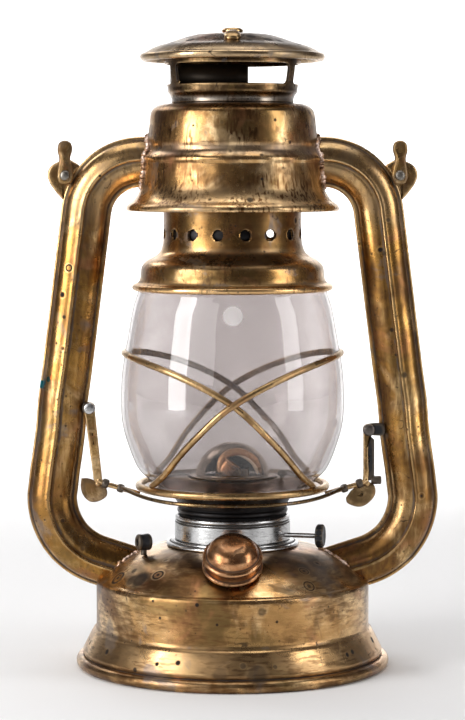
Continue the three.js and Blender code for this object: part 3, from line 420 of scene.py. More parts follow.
# The nodes of one material.
class Net:
    def __init__(self, name):
        self.material = bpy.data.materials.new(name)
        self.material.use_nodes = True
        self.tree = self.material.node_tree
        self.tree.nodes.clear()
        self.place = self.node("TexCoord", output="Object")

    # Any node: its settings first, then a value or a link for each socket.
    def node(self, kind, inputs=(), output=0, **settings):
        made = self.tree.nodes.new("ShaderNode" + kind)
        for name, value in settings.items():
            setattr(made, name, value)
        for key, value in inputs.items() if isinstance(inputs, dict) else enumerate(inputs):
            socket = made.inputs[key]
            if isinstance(value, Tone):
                self.tree.links.new(value.socket, socket)
            elif socket.type == "RGBA":
                socket.default_value = (*value[:3], 1.0)
            else:
                socket.default_value = value
        return Tone(self, made.outputs[output] if len(made.outputs) else None)

    # The ridge values of the piece.
    def ridge(self):
        return self.node("Attribute", output="Fac", attribute_name="ridge")

    # Noise from 0 to 1 around a half; stretch scales the place first, and shift moves the pattern.
    def noise(self, scale, detail=3.0, roughness=0.55, stretch=None, warp=0.0, shift=0.0):
        spot = self.place
        if shift:
            spot = self.node("VectorMath", [spot, (shift, shift, shift)], operation="ADD")
        if stretch:
            spot = self.node("VectorMath", [spot, stretch], operation="MULTIPLY")
        inputs = {
            "Vector": spot, "Scale": scale, "Detail": detail, "Roughness": roughness, "Distortion": warp,
        }
        return self.node("TexNoise", inputs)

    # Random cells: the distance to the nearest middle, or the cell's own colour.
    def cells(self, scale, output="Distance"):
        return self.node("TexVoronoi", {"Vector": self.place, "Scale": scale}, output=output)

    def part(self, axis):
        return self.node("SeparateXYZ", [self.place], output=axis)

    # One at a place in millimetres, falling to zero at a radius.
    def spot(self, x, y, z, radius, soft=0.5):
        return 1.0 - self.away(x, y, z).rise(radius * (1 - soft) * milli, radius * milli)

    # The distance from a place in millimetres, as a Tone in metres.
    def away(self, x, y, z):
        middle = (x * milli, y * milli, z * milli)
        return self.node("VectorMath", [self.place, middle], output="Value", operation="DISTANCE")

    def mix(self, low, high, factor):
        return self.node("Mix", {0: factor, 6: low, 7: high}, output=2, data_type="RGBA")

    def bump(self, height, strength, distance, below=None):
        inputs = {"Height": height, "Strength": strength, "Distance": distance * milli}
        if below:
            inputs["Normal"] = below
        return self.node("Bump", inputs, output="Normal")

    def shader(self, **sockets):
        named = {name.replace("_", " "): value for name, value in sockets.items()}
        return self.node("BsdfPrincipled", named)

    # The material, with this as its surface.
    def ended(self, surface):
        self.node("OutputMaterial", [surface])
        return self.material

    def shade(self, **sockets):
        return self.ended(self.shader(**sockets))


# What a brass or copper finish can change. Marks are places in millimetres.
brassLook = {
    "bright": (0.94, 0.67, 0.36),
    "main": (0.5, 0.28, 0.105),
    "deep": (0.14, 0.07, 0.028),
    "olive": (0.2, 0.135, 0.05),
    "stainAndShade": (0.016, 0.01, 0.007),
    "rosy": (0.44, 0.19, 0.09),
    "smoke": (0.16, 0.15, 0.155),
    "patch": 26.0,
    "patchLow": 0.42,
    "patchHigh": 0.6,
    "grime": 0.75,
    "rub": 0.4,
    "pits": 1.0,
    "polish": 0.75,
    "hatch": 0.6,
    "strokes": (8.0, 8.0, 1.3),
    "smoky": 0.5,
    "roughLow": 0.13,
    "roughHigh": 0.4,
    "metal": 1.0,
    "grain": (1.0, 1.0, 1.0),
    "wave": 0.5,
    "marks": (),
    "rings": (),
    "flecks": (),
    "bands": (),
}


# Old brass: polished gold in patches and on its ridges, brown, olive and smoky where it is sheltered, with
# dark brush strokes, stains, pits with bright rims, and a surface that is gently uneven. Tinted bands and
# some single marks, given per finish, are painted highlights and painted shade.
def oldBrass(name, **changes):
    look = {**brassLook, **changes}
    net = Net(name)
    patch = look["patch"]
    ridge = net.ridge()
    wide = net.noise(patch, 4.0, 0.6, warp=0.6)
    middle = net.noise(patch * 3.4, 4.0, 0.62, warp=0.4, shift=0.31)
    fine = net.noise(520.0, 3.0, 0.6)
    brushed = net.noise(90.0, 4.0, 0.65, stretch=look["grain"])
    hair = net.noise(420.0, 2.0, 0.5, stretch=look["grain"])
    patches = (wide * 0.65 + middle * 0.35).rise(look["patchLow"], look["patchHigh"])
    colour = net.mix(look["deep"], look["main"], (patches * 0.85 + brushed.rise(0.38, 0.66) * 0.3).held())
    olive = net.noise(patch * 1.25, 3.0, 0.6, warp=0.5, shift=0.77).rise(0.53, 0.64) * 0.5
    colour = net.mix(colour, look["olive"], olive)
    rosy = net.noise(patch * 1.7, 3.0, 0.6, warp=0.8, shift=1.3).rise(0.54, 0.7) * 0.5
    colour = net.mix(colour, look["rosy"], rosy)
    rub = (ridge * 1.1 + (middle - 0.5) * 1.4 + (brushed - 0.5) * 0.6).rise(0.2, 0.95) * look["rub"]
    shine = net.noise(patch * 1.1, 4.0, 0.62, warp=0.9, shift=2.1).rise(0.48, 0.66)
    polish = (shine * (0.35 + brushed.rise(0.4, 0.62) * 0.65)) * look["polish"]
    colour = net.mix(colour, look["bright"], rub.most(polish).held())
    # Tinted bands at a height, which are painted highlights and painted shade
    for z, width, strength, tint in look["bands"]:
        band = net.part("Z").line(z * milli, width * milli) * strength
        colour = net.mix(colour, tint, (band * (0.55 + wide * 0.9)).held())
    # Dark brush strokes, smoke and dirt
    strokes = net.noise(92.0, 2.0, 0.5, stretch=look["strokes"], warp=0.35, shift=0.5).rise(0.49, 0.62)
    strokes = strokes * net.noise(patch * 1.4, 3.0, 0.6, shift=1.9).rise(0.44, 0.54) * look["hatch"]
    colour = net.mix(colour, look["deep"], strokes)
    hollow = (0.0 - ridge * 1.6 + (middle - 0.5) * 0.7).rise(0.15, 0.8)
    smoke = net.noise(patch * 1.5, 4.0, 0.65, warp=0.7, shift=2.9) + hollow * 0.16
    smoke = smoke.rise(0.58, 0.68) * look["smoky"]
    colour = net.mix(colour, look["smoke"], smoke)
    blotch = net.noise(patch * 2.1, 5.0, 0.7, warp=1.1, shift=0.9).rise(0.6, 0.7)
    scratch = net.noise(34.0, 2.0, 0.5, warp=1.6, shift=3.3).line(0.5, 0.006)
    scratch = scratch * net.noise(48.0, 2.0, 0.5, shift=3.9).rise(0.56, 0.62)
    dirt = (hollow * look["grime"]).most(blotch * 0.8 * look["grime"]).most(scratch * 0.7)
    # Pits with bright rims, specks and single marks, some of which are painted shade
    cell = net.cells(95.0)
    chosen = net.node("SeparateColor", [net.cells(95.0, output="Color")]).rise(0.74, 0.97)
    pit = (1.0 - cell.rise(0.09, 0.15)) * chosen * look["pits"]
    rim = cell.line(0.19, 0.045) * chosen * look["pits"] * 0.3
    speck = (1.0 - net.cells(330.0).rise(0.12, 0.26)) * net.noise(70.0).rise(0.52, 0.68) * look["pits"] * 0.8
    dark = dirt.most(pit).most(speck)
    for x, y, z, radius, strength in look["marks"]:
        dark = dark.most(net.spot(x, y, z, radius) * strength)
    for x, y, z, radius, width in look["rings"]:
        ringMark = net.away(x, y, z)
        dark = dark.most(ringMark.line(radius * milli, width * milli))
        rim = rim.most(ringMark.line((radius + width * 1.5) * milli, width * milli) * 0.4)
    colour = net.mix(colour, look["bright"], (rim * 0.55).held())
    colour = net.mix(colour, look["stainAndShade"], dark.held())
    for x, y, z, radius, tint in look["flecks"]:
        colour = net.mix(colour, tint, net.spot(x, y, z, radius, 0.3))
    # Gloss and relief
    dull = (1.0 - patches) * 0.4 + fine * 0.25 + (1.0 - polish) * 0.25
    rough = (
        look["roughLow"] + dull * (look["roughHigh"] - look["roughLow"]) + dark * 0.3 + smoke * 0.15
    ).held()
    broad = net.bump(net.noise(40.0, 2.0, 0.5, shift=4.2), look["wave"], 1.6)
    relief = middle * 0.3 + hair * 0.2 + fine * 0.08 - pit * 1.2 - speck * 0.5 + brushed * 0.25 - dark * 0.1
    normal = net.bump(relief, 0.45, 0.2, broad)
    metal = (look["metal"] - dark * 0.35 - smoke * 0.25).held()
    return net.shade(Base_Color=colour, Roughness=rough, Metallic=metal, Normal=normal)


# Turned steel: fine lines round the axis, dirt in the grooves, small rust specks.
def brightSteel(name, base=(0.6, 0.6, 0.6), dark=(0.06, 0.055, 0.05), stains=0.45, low=0.14, warm=0.25):
    net = Net(name)
    ridge = net.ridge()
    lines = net.noise(60.0, 4.0, 0.6, stretch=(1.0, 1.0, 14.0))
    bands = net.noise(44.0, 3.0, 0.55, stretch=(1.0, 1.0, 0.25), shift=1.1).rise(0.42, 0.62)
    wide = net.noise(55.0, 4.0, 0.6, warp=0.7)
    dirt = ((0.0 - ridge * 1.4).rise(0.15, 0.8)).most(wide.rise(0.55, 0.78) * stains)
    speck = (1.0 - net.cells(260.0).rise(0.1, 0.24)) * net.noise(60.0).rise(0.5, 0.64) * stains
    dirt = dirt.most(speck).most(lines.line(0.46, 0.03) * 0.35)
    grey = tuple(0.62 * c for c in base)
    colour = net.mix(grey, base, bands)
    colour = net.mix(colour, (0.3, 0.22, 0.13), net.noise(38.0, 3.0).rise(0.55, 0.8) * warm)
    colour = net.mix(colour, dark, dirt.held())
    rough = (low + lines * 0.2 + dirt * 0.3).held()
    normal = net.bump(lines * 0.6 + net.noise(400.0) * 0.2, 0.35, 0.12)
    return net.shade(Base_Color=colour, Roughness=rough, Metallic=1.0 - dirt * 0.3, Normal=normal)


# Burner dome, a pan's cover over the wick, open towards the front
dome = {
    "radius": 18.5, "tall": 17.0, "base": 95.4, "wall": 0.8, "sides": 220,
    "mouthWide": 15.4, "mouthTall": 14.1, "sill": 96.3, "mouthTurn": math.radians(5),
}


# Its finish: a tan scale outside and at the mouth's edge, slate inside.
def domeLook(name):
    net = Net(name)
    shares = (1 / dome["radius"], 1 / dome["radius"], 1 / dome["tall"])
    place = net.node("VectorMath", [net.place, (0, 0, dome["base"] * milli)], operation="SUBTRACT")
    place = net.node("VectorMath", [place, shares], operation="MULTIPLY")
    out = net.node("VectorMath", [place], output="Value", operation="LENGTH") * (1 / milli)
    wide = net.noise(70.0, 4.0, 0.6, warp=0.6)
    tan = net.mix((0.6, 0.5, 0.41), (0.25, 0.19, 0.15), wide.rise(0.42, 0.66))
    slate = net.mix((0.045, 0.045, 0.05), (0.1, 0.1, 0.105), wide.rise(0.4, 0.7))
    colour = net.mix(slate, tan, out.rise(0.962, 0.985))
    speck = (1.0 - net.cells(240.0).rise(0.1, 0.22)) * net.noise(80.0).rise(0.5, 0.66)
    colour = net.mix(colour, (0.02, 0.016, 0.013), speck)
    normal = net.bump(wide * 0.5 + net.noise(400.0) * 0.3, 0.4, 0.2)
    return net.shade(Base_Color=colour, Roughness=0.1 + wide * 0.2, Metallic=0.8, Normal=normal)


# Black paint, worn to dark metal on its ridges.
def blackMetal(name):
    net = Net(name)
    ridge = net.ridge()
    wide = net.noise(160.0, 4.0, 0.6)
    worn = (ridge * 1.2 + (wide - 0.5) * 1.4).rise(0.5, 1.0)
    colour = net.mix((0.012, 0.013, 0.016), (0.16, 0.13, 0.1), worn * 0.7)
    rough = (0.3 + wide * 0.3).held()
    normal = net.bump(net.noise(600.0, 3.0) * 0.5 + wide * 0.5, 0.4, 0.15)
    return net.shade(Base_Color=colour, Roughness=rough, Metallic=worn * 0.8 + 0.1, Normal=normal)


# Old blown glass: clear walls, a thin grey haze, a darker outline and a darker middle that are painted
# shade, and a small frosted disc at the front.
def globeGlass(name):
    net = Net(name)
    haze = net.noise(26.0, 3.0, 0.55, warp=0.8)
    streak = net.noise(30.0, 3.0, 0.5, stretch=(1.0, 1.0, 0.25))
    smoke = (haze * 0.5 + streak * 0.5).rise(0.4, 0.66)
    spot = net.spot(0.2, -50.0, 178.7, 5.2, 0.12)
    colour = net.mix((0.79, 0.755, 0.75), (0.6, 0.565, 0.56), smoke)
    across = net.part("X").maths("ABSOLUTE")
    # Painted shade: the tint is darker down the middle of the globe.
    colour = net.mix(colour, (0.56, 0.525, 0.52), (1.0 - across.rise(0.012, 0.042)) * 0.8)
    # Painted shade: a dark film takes over along the outline.
    edge = net.node("LayerWeight", {"Blend": 0.5}, output="Facing").rise(0.8, 0.92)
    colour = net.mix(colour, (0.97, 0.965, 0.96), spot * 0.85)
    rough = (smoke * 0.03 + spot * 0.3).held()
    wave = net.bump(net.noise(18.0, 2.0), 0.25, 0.6)
    clear = net.shader(
        Base_Color=colour, Roughness=rough, Metallic=0.0, IOR=1.48, Transmission_Weight=1.0, Normal=wave
    )
    film = net.shader(
        Base_Color=net.mix((0.66, 0.625, 0.615), (0.1, 0.085, 0.075), edge), Roughness=0.6, Metallic=0.0
    )
    # The film shows more at the outline, where it is dark as painted shade, and on the far side, and direct
    # light passes to what is inside.
    behind = net.part("Y").rise(-0.01, 0.02)
    hazed = net.node(
        "MixShader", [0.015 + smoke * 0.03 + spot * 0.25 + behind * 0.15 + edge * 0.7, clear, film]
    )
    shadow = net.node("LightPath", output="Is Shadow Ray") * 0.8
    return net.ended(net.node("MixShader", [shadow, hazed, net.node("BsdfTransparent")]))


# Woven wick, charred at its top.
def wovenCotton(name):
    net = Net(name)
    weave = net.node("TexWave", {"Vector": net.place, "Scale": 900.0, "Distortion": 1.5}, output="Fac")
    across = net.noise(500.0, 3.0, stretch=(1.0, 1.0, 0.3))
    burnt = (net.part("Z") + net.noise(160.0) * 0.002).rise(0.097, 0.1005)
    colour = net.mix((0.62, 0.55, 0.42), (0.78, 0.73, 0.6), weave)
    colour = net.mix(colour, (0.02, 0.017, 0.014), burnt)
    normal = net.bump(weave * 0.7 + across * 0.3, 0.7, 0.25)
    return net.shade(Base_Color=colour, Roughness=0.95, Sheen_Weight=0.2, Normal=normal)


# Old black rubber.
def rubberLook(name):
    net = Net(name)
    wide = net.noise(300.0, 3.0)
    colour = net.mix((0.015, 0.015, 0.016), (0.05, 0.048, 0.045), wide.rise(0.4, 0.8))
    return net.shade(Base_Color=colour, Roughness=0.75 + wide * 0.15, Normal=net.bump(wide, 0.4, 0.1))


# Solder with a copper bloom.
def solderLook(name):
    net = Net(name)
    wide = net.noise(240.0, 4.0, 0.65)
    colour = net.mix((0.42, 0.25, 0.15), (0.9, 0.72, 0.62), wide.rise(0.4, 0.6))
    colour = net.mix(colour, (0.1, 0.06, 0.035), net.noise(150.0, 4.0).rise(0.62, 0.75))
    return net.shade(
        Base_Color=colour, Roughness=0.3 + wide * 0.25, Metallic=1.0, Normal=net.bump(wide, 0.7, 0.5)
    )


# Pale studio floor.
def paleFloor(name):
    net = Net(name)
    return net.shade(
        Base_Color=net.mix((0.86, 0.86, 0.86), (0.9, 0.9, 0.9), net.noise(3.0, 2.0)), Roughness=0.9
    )


# Places of single marks, in millimetres: x, y, z, radius and strength, or radius and width of a ring.
fountMarks = (
    (-45.2, -40.5, 49.0, 6.5, 0.9), (-49, -37, 48, 4.5, 0.8), (-36.3, -44.0, 52.0, 1.2, 1.0),
    (-56.6, -26.4, 47.7, 1.5, 1.0), (-48.5, -30.4, 51.8, 2.2, 0.7), (37.1, -50.2, 47.6, 1.6, 0.9),
    (34.9, -41.9, 53.6, 1.4, 0.9), (55.8, -46.6, 13.1, 1.8, 1.0), (58.4, -42.6, 13.8, 1.8, 1.0),
    (69.6, -17.9, 15.1, 2.2, 1.0), (64, -31, 14.2, 1.4, 0.9), (-17.0, -66.3, 41.1, 1.3, 1.0),
    (-34.9, -58.9, 33.5, 1.0, 0.9), (-38.4, -56.7, 41.4, 0.9, 0.9), (-7.4, -68.1, 31.8, 0.9, 0.9),
    (21.3, -65.0, 32.7, 0.9, 0.9), (14.1, -66.9, 37.9, 2.6, 0.6), (-26.1, -68.0, 13.4, 1.6, 1.0),
    (-36.3, -63.8, 12.0, 1.3, 1.0), (-61.5, -39.1, 13.1, 2.0, 1.0), (-47.1, -58.6, 8.1, 1.6, 0.9),
    (5.0, -72.9, 12.9, 2.2, 0.8), (20.3, -70.6, 11.9, 1.5, 0.8), (-71.2, -15.9, 13.2, 1.4, 1.0),
    # The last two marks, large and soft on the dome's right side, are painted shade.
    (12, -74.6, 9.4, 7.0, 0.7), (-6, -74.8, 9.2, 5.0, 0.5), (36, -36, 55, 24, 0.62),
    (52, -20, 53, 18, 0.58),
)
fountRings = (
    (-56.6, -26.4, 47.7, 3.4, 0.9), (-36.3, -44.0, 52.0, 2.6, 0.6), (37.1, -50.2, 47.6, 2.7, 0.5),
    (34.9, -41.9, 53.6, 2.3, 0.4),
)
tubeMarks = (
    (-70.3, -9, 186.8, 1.8, 1.0), (-83.8, -9, 175.8, 1.2, 0.9), (-65.6, -10, 245.8, 0.9, 1.0),
    (-83.1, -9, 121.4, 1.2, 0.9), (-84.9, -9, 151.9, 1.0, 0.8), (77.1, -9, 224.0, 1.6, 0.8),
    (75.2, -9, 207.6, 2.0, 0.8), (79.3, -9, 169.4, 1.6, 0.9), (85.4, -9, 146.9, 2.2, 0.8),
    (73.3, -9, 184.3, 1.0, 0.9), (81.4, -9, 156.9, 1.2, 0.9),
)
tubeRings = ((-81.2, -8.6, 200.2, 1.5, 0.5), (-69.0, -9.4, 189.5, 1.4, 0.45))
tubeFlecks = (
    (-95.6, -1.6, 141.6, 2.4, (0.008, 0.07, 0.085)), (-94.2, -3.6, 143.0, 2.2, (0.008, 0.07, 0.085)),
    (-92.0, -6.6, 144.6, 1.7, (0.03, 0.08, 0.07)), (-90.0, -8.0, 145.6, 1.6, (0.55, 0.15, 0.04)),
)
hoodMarks = (
    (14.2, -42.6, 244.4, 1.0, 1.0), (27.9, -31.7, 262.3, 1.2, 0.9), (20.6, -36.0, 272.9, 1.0, 0.8),
    (8.4, -48.2, 234.4, 2.0, 0.8), (14.2, -42.1, 256.0, 1.4, 0.7), (-5.1, -41.2, 271.8, 1.2, 0.5),
)
# The canopy marks are painted shade: dark spots where the canopy has small holes.
canopyMarks = (
    (-20.7, -22.4, 312.4, 2.9, 1.0), (9.0, -24.3, 313.6, 3.2, 1.0), (17.3, -24.8, 312.4, 3.0, 1.0),
    (23.2, -21.9, 311.9, 2.2, 0.9), (8.1, -30.9, 311.9, 2.2, 1.0), (-31, -12, 311.3, 2.0, 0.9),
    (33, -10, 310.9, 2.0, 0.9),
)
brassFount = oldBrass(
    "brassFount", grain=(1.0, 1.0, 5.0), strokes=(1.5, 1.5, 8.0), marks=fountMarks, rings=fountRings,
    patch=20.0, patchLow=0.45, patchHigh=0.57, hatch=0.6, grime=0.6,
    # The band low on the foot is a painted highlight.
    bands=((14.0, 9.0, 0.36, (0.94, 0.63, 0.32)),),
)
brassHood = oldBrass(
    "brassHood", grain=(3.0, 3.0, 1.0), patch=27.0, hatch=1.0, polish=0.85, patchLow=0.45, patchHigh=0.56,
    grime=0.6, marks=hoodMarks,
    # The band on the flare is a painted highlight; the other is a pale grey band at the waist.
    bands=((235.0, 8.0, 0.34, (0.95, 0.67, 0.36)), (259.0, 4.0, 0.35, (0.42, 0.35, 0.28))),
)
brassBell = oldBrass(
    "brassBell", grain=(1.0, 1.0, 3.0), patch=28.0, main=(0.46, 0.25, 0.08), polish=0.6, grime=0.55,
    # Painted shade darkens the straight side; painted highlights brighten the bead and the shoulder.
    bands=((222.0, 17.0, 0.47, (0.12, 0.06, 0.022)), (190.5, 6.0, 0.5, (0.94, 0.58, 0.25)),
           (205.5, 6.0, 0.52, (0.9, 0.61, 0.33))),
)
brassTube = oldBrass(
    "brassTube", grain=(5.0, 5.0, 1.0), patch=24.0, main=(0.43, 0.225, 0.055), bright=(0.92, 0.63, 0.3),
    hatch=0.3, rub=0.5, grime=0.6,
    roughLow=0.15, marks=tubeMarks, rings=tubeRings, flecks=tubeFlecks,
    # Painted shade low on the tubes and a painted highlight near their tops.
    bands=((84.0, 36.0, 0.5, (0.15, 0.072, 0.024)), (245.0, 34.0, 0.22, (0.97, 0.73, 0.44))),
)
brassTop = oldBrass(
    "brassTop", bright=(0.7, 0.5, 0.28), main=(0.22, 0.14, 0.07), deep=(0.07, 0.042, 0.022), patch=34.0,
    pits=1.2, polish=0.5, marks=canopyMarks, strokes=(3.0, 3.0, 1.0), hatch=0.3,
    # The band on the rolled edge is a painted highlight.
    bands=((305.0, 6.0, 0.35, (0.75, 0.55, 0.33)),),
)
brassVent = oldBrass(
    "brassVent", bright=(0.6, 0.4, 0.2), main=(0.17, 0.1, 0.045), deep=(0.05, 0.03, 0.015), patch=40.0,
    polish=0.4, bands=((283.2, 2.6, 0.7, (0.3, 0.27, 0.235)),),
)
brassWire = oldBrass(
    "brassWire", bright=(0.8, 0.55, 0.28), main=(0.4, 0.245, 0.1), deep=(0.2, 0.12, 0.05), patch=50.0,
    pits=0.15, grime=0.25, hatch=0.1, smoky=0.2, wave=0.3,
)
brassSmall = oldBrass(
    "brassSmall", main=(0.5, 0.3, 0.11), deep=(0.2, 0.11, 0.045), patch=70.0, pits=0.4, hatch=0.3,
    grime=0.35, smoky=0.15,
)
wireBlack = oldBrass(
    "wireBlack", bright=(0.4, 0.27, 0.13), main=(0.07, 0.045, 0.025), deep=(0.02, 0.014, 0.01), patch=50.0,
    pits=0.2, rub=0.25,
)
brassPaddle = oldBrass(
    "brassPaddle", bright=(0.5, 0.34, 0.17), main=(0.31, 0.205, 0.1), deep=(0.14, 0.088, 0.042), patch=60.0,
    pits=0.15, hatch=0.2, rub=0.35, grime=0.12,
)
plateBrown = oldBrass(
    "plateBrown", bright=(0.5, 0.38, 0.29), main=(0.2, 0.14, 0.11), deep=(0.1, 0.068, 0.055), patch=30.0,
    pits=0.3, hatch=0.1, rub=0.6, grime=0.3, smoky=0.3, roughLow=0.08, roughHigh=0.3, metal=0.8,
)
copperCap = oldBrass(
    "copperCap", bright=(0.92, 0.56, 0.3), main=(0.46, 0.2, 0.08), deep=(0.14, 0.055, 0.025), patch=46.0,
    hatch=0.2, smoky=0.2, olive=(0.24, 0.12, 0.05),
)
copperCowl = oldBrass(
    "copperCowl", bright=(0.9, 0.56, 0.3), main=(0.6, 0.29, 0.12), deep=(0.34, 0.14, 0.055), patch=80.0,
    pits=0.3, hatch=0.1, smoky=0.0, olive=(0.4, 0.2, 0.08), metal=0.45, grime=0.4,
)
# Pale copper for a painted highlight inside the cowl's curl.
copperHighlight = oldBrass(
    "copperHighlight", bright=(0.97, 0.85, 0.68), main=(0.85, 0.66, 0.46), deep=(0.45, 0.25, 0.13), patch=80.0,
    pits=0.2, hatch=0.0, smoky=0.0, olive=(0.7, 0.5, 0.3), rosy=(0.8, 0.5, 0.34), metal=0.3, grime=0.1,
)
steelDrum = brightSteel("steelDrum")
steelSmall = brightSteel("steelSmall", stains=0.35)
steelWorn = brightSteel("steelWorn", base=(0.34, 0.31, 0.27), stains=0.7, low=0.22)
steelDark = brightSteel(
    "steelDark", base=(0.16, 0.14, 0.125), dark=(0.02, 0.018, 0.016), stains=0.8, low=0.28
)
# Near-black steel that is painted shade, on the burner throat and on the sheets inside the bell.
steelShade = brightSteel(
    "steelShade", base=(0.035, 0.033, 0.034), dark=(0.008, 0.007, 0.007), stains=0.8, low=0.3
)
burnerTan = domeLook("burnerTan")
blackSmall = blackMetal("blackSmall")
glassClear = globeGlass("glassClear")
cottonWick = wovenCotton("cottonWick")
rubberBlack = rubberLook("rubberBlack")
solderRough = solderLook("solderRough")
print("looks made")


# A piece's profile, from its dictionary's named stretches, turned about the axis.
def lathed(piece, stretches=None, **cuts):
    profile = runs(piece["step"], *(stretches or piece["profile"].values()))
    return revolved(
        profile, piece["sides"], piece.get("wall", 0), seed=piece.get("seed", 0), dent=piece.get("dent", 0),
        **cuts
    )


# Fount: beaded foot, flare, straight wall and domed top
fount = {
    "sides": 224, "step": 0.9, "dent": 0.12, "seed": 3, "floorGap": 0.02,
    "bead": {"x": 75.7, "z": 3.0, "radius": 3.0, "start": 200, "stop": 470, "count": 28},
    "profile": {
        "heel": [(75.0, 6.6), (75.3, 8.4)],
        "flare": [(73.4, 12.2), (71.4, 16.2), (70.2, 18.4)],
        "waist": [(69.2, 19.4), (68.6, 20.6)],
        "side": [(68.5, 30), (68.5, 40.6)],
        "shoulder": [(68.35, 42.4), (67.6, 43.6), (66.2, 44.2)],
    },
    "domeTop": 61.6, "domeDrop": 17.6, "domeRadius": 66.1, "domePower": 4.13,
    "domeRadii": [64.5, 61, 56, 50, 43, 36, 30, 27.2],
}


# The dome falls from its top by a power of the share of its radius.
def domeHeight(radius):
    return fount["domeTop"] - fount["domeDrop"] * (radius / fount["domeRadius"]) ** fount["domePower"]


footBead = arcPoints(**fount["bead"])
footBead[:, 1] = np.maximum(footBead[:, 1], fount["floorGap"])
domeLine = [(radius, domeHeight(radius)) for radius in fount["domeRadii"]]
fountGrid = lathed(fount, [footBead, *fount["profile"].values(), domeLine])
addPiece("fount_shell", *fountGrid, "frame", "aged_brass", brassFount, ("fount_body",))
print("fount made")

# Filler cap, on an axis that leans towards the front
cap = {
    "sides": 128, "step": 0.35, "dent": 0.1, "seed": 5, "lean": math.radians(34), "place": (0, -52, 57),
    "profile": {
        "throat": [(11.9, 1.2), (11.9, 0.1)],
        "rim": [(14.1, 0.1), (14.7, 0.9), (14.6, 1.9), (13.9, 2.5)],
        "waist": [(13.8, 4.4), (13.9, 6.0)],
        "bead": [(14.5, 6.6), (14.5, 7.5), (13.7, 8.3), (12.7, 8.7)],
        "crown": [(12.3, 10.2), (11.3, 12.0), (9.3, 13.9), (6.6, 15.2), (3.2, 15.9), (0.02, 16.05)],
    },
}
capPoints, capFaces = lathed(cap)
capPoints = turnedAbout(capPoints, (1, 0, 0), cap["lean"]) + np.array(cap["place"])
addPiece("cap_shell", capPoints, capFaces, "filler_cap_body", "aged_copper", copperCap, ("filler_cap",))

# Burner: collar, drum, throat and pan
collar = {
    "sides": 160, "step": 0.4,
    "profile": {
        "sleeve": [(26.3, 57.5), (26.3, 61.5), (28, 61.0)],
        "ledge": [(32.9, 60.75)],
        "rim": [(33.3, 61.5), (33.0, 62.3), (31.6, 62.7)],
        "fillet": [(31.0, 63.0), (30.9, 63.5), (30.0, 63.7)],
        "top": [(25.2, 63.7)],
    },
}
drum = {
    "sides": 160, "step": 0.35,
    "profile": {
        "base": [(27.4, 63.9), (28.8, 63.9), (29.0, 64.4)],
        "side": [(29.0, 72.3)],
        "lowGroove": [(28.5, 72.6), (28.5, 72.9), (28.9, 73.2)],
        "highGroove": [(28.3, 73.6), (28.3, 74.0), (28.7, 74.3)],
        "brim": [(28.6, 75.5), (28.0, 75.95), (27.4, 75.95)],
        "inside": [(27.4, 74.4)],
    },
}
throat = {
    "sides": 128, "step": 0.6, "wall": 0.7,
    "profile": {
        "bead": [(26.6, 74.6), (26.8, 77.2), (27.6, 77.7), (27.6, 79.4), (26.9, 80.0)],
        "cone": [(28.2, 83.0), (30.6, 86.4), (31.4, 88.0)],
        "ledge": [(26, 88.15), (21.9, 88.15)],
        "pipe": [(21.8, 93.5)],
    },
}
pan = {
    "sides": 128, "step": 0.4,
    "profile": {
        "under": [(8.9, 94.1), (18.5, 94.0)],
        "rim": [(20.6, 94.3), (21.7, 95.1)],
        "edge": [(21.2, 95.3)],
        "floor": [(19.4, 95.0), (8.9, 94.9)],
    },
}
addPiece("collar_ring", *lathed(collar), "frame", "steel", steelDrum, ("burner_collar",))
addPiece("drum_shell", *lathed(drum), "frame", "steel", steelDrum, ("burner_drum",))
# The throat is near black: painted shade under the globe plate.
addPiece("throat_shell", *lathed(throat), "frame", "dark_steel", steelShade, ("burner_throat",))
addPiece("pan_shell", *lathed(pan), "frame", "dark_steel", burnerTan, ("burner_pan",))


# True inside the burner dome's mouth: an ellipse at the front, cut off at its sill.
def inMouth(p):
    x = p[:, 0] * math.cos(dome["mouthTurn"]) + p[:, 1] * math.sin(dome["mouthTurn"])
    y = -p[:, 0] * math.sin(dome["mouthTurn"]) + p[:, 1] * math.cos(dome["mouthTurn"])
    inside = np.hypot(x / dome["mouthWide"], (p[:, 2] - dome["base"]) / dome["mouthTall"]) < 1
    return inside & (y < 0) & (p[:, 2] > dome["sill"])


domeCurve = arcPoints(0, 0, 1, 0, 89.7, 84) * np.array([dome["radius"], dome["tall"]])
domeCurve[:, 1] += dome["base"]
domeGrid = revolved(domeCurve, dome["sides"], wall=dome["wall"], windows=inMouth)
addPiece("dome_shell", *domeGrid, "frame", "dark_steel", burnerTan, ("burner_dome",))
print("burner made")

# Hood
hood = {
    "sides": 224, "step": 0.6, "wall": 1.1, "dent": 0.16, "seed": 11,
    "profile": {
        "lip": [(51.6, 228.6), (52.6, 228.4), (53.2, 229.3), (53.0, 230.6), (51.9, 231.9)],
        "flare": [(49.6, 233.6), (47.6, 236.2), (46.0, 239.3), (45.1, 243.0), (44.7, 248), (44.5, 252.4)],
        "beadAndDrum": [
            (45.0, 253.3), (45.05, 254.4), (44.3, 255.9), (43.0, 257.4), (42.2, 258.9), (42.0, 260.4),
            (42.3, 262.0), (42.1, 266), (41.6, 271.5), (41.2, 275.4),
        ],
        "shoulder": [(40.4, 278.0), (38.4, 280.0), (35.6, 281.2), (32.5, 281.55), (28.95, 281.6)],
    },
    "seatHeights": [243.0, 252.4, 256.0, 258.1, 266.0], "seatRadii": [45.1, 44.6, 44.8, 42.5, 42.1],
}
addPiece("hood_shell", *lathed(hood), "frame", "aged_brass", brassHood, ("hood",))

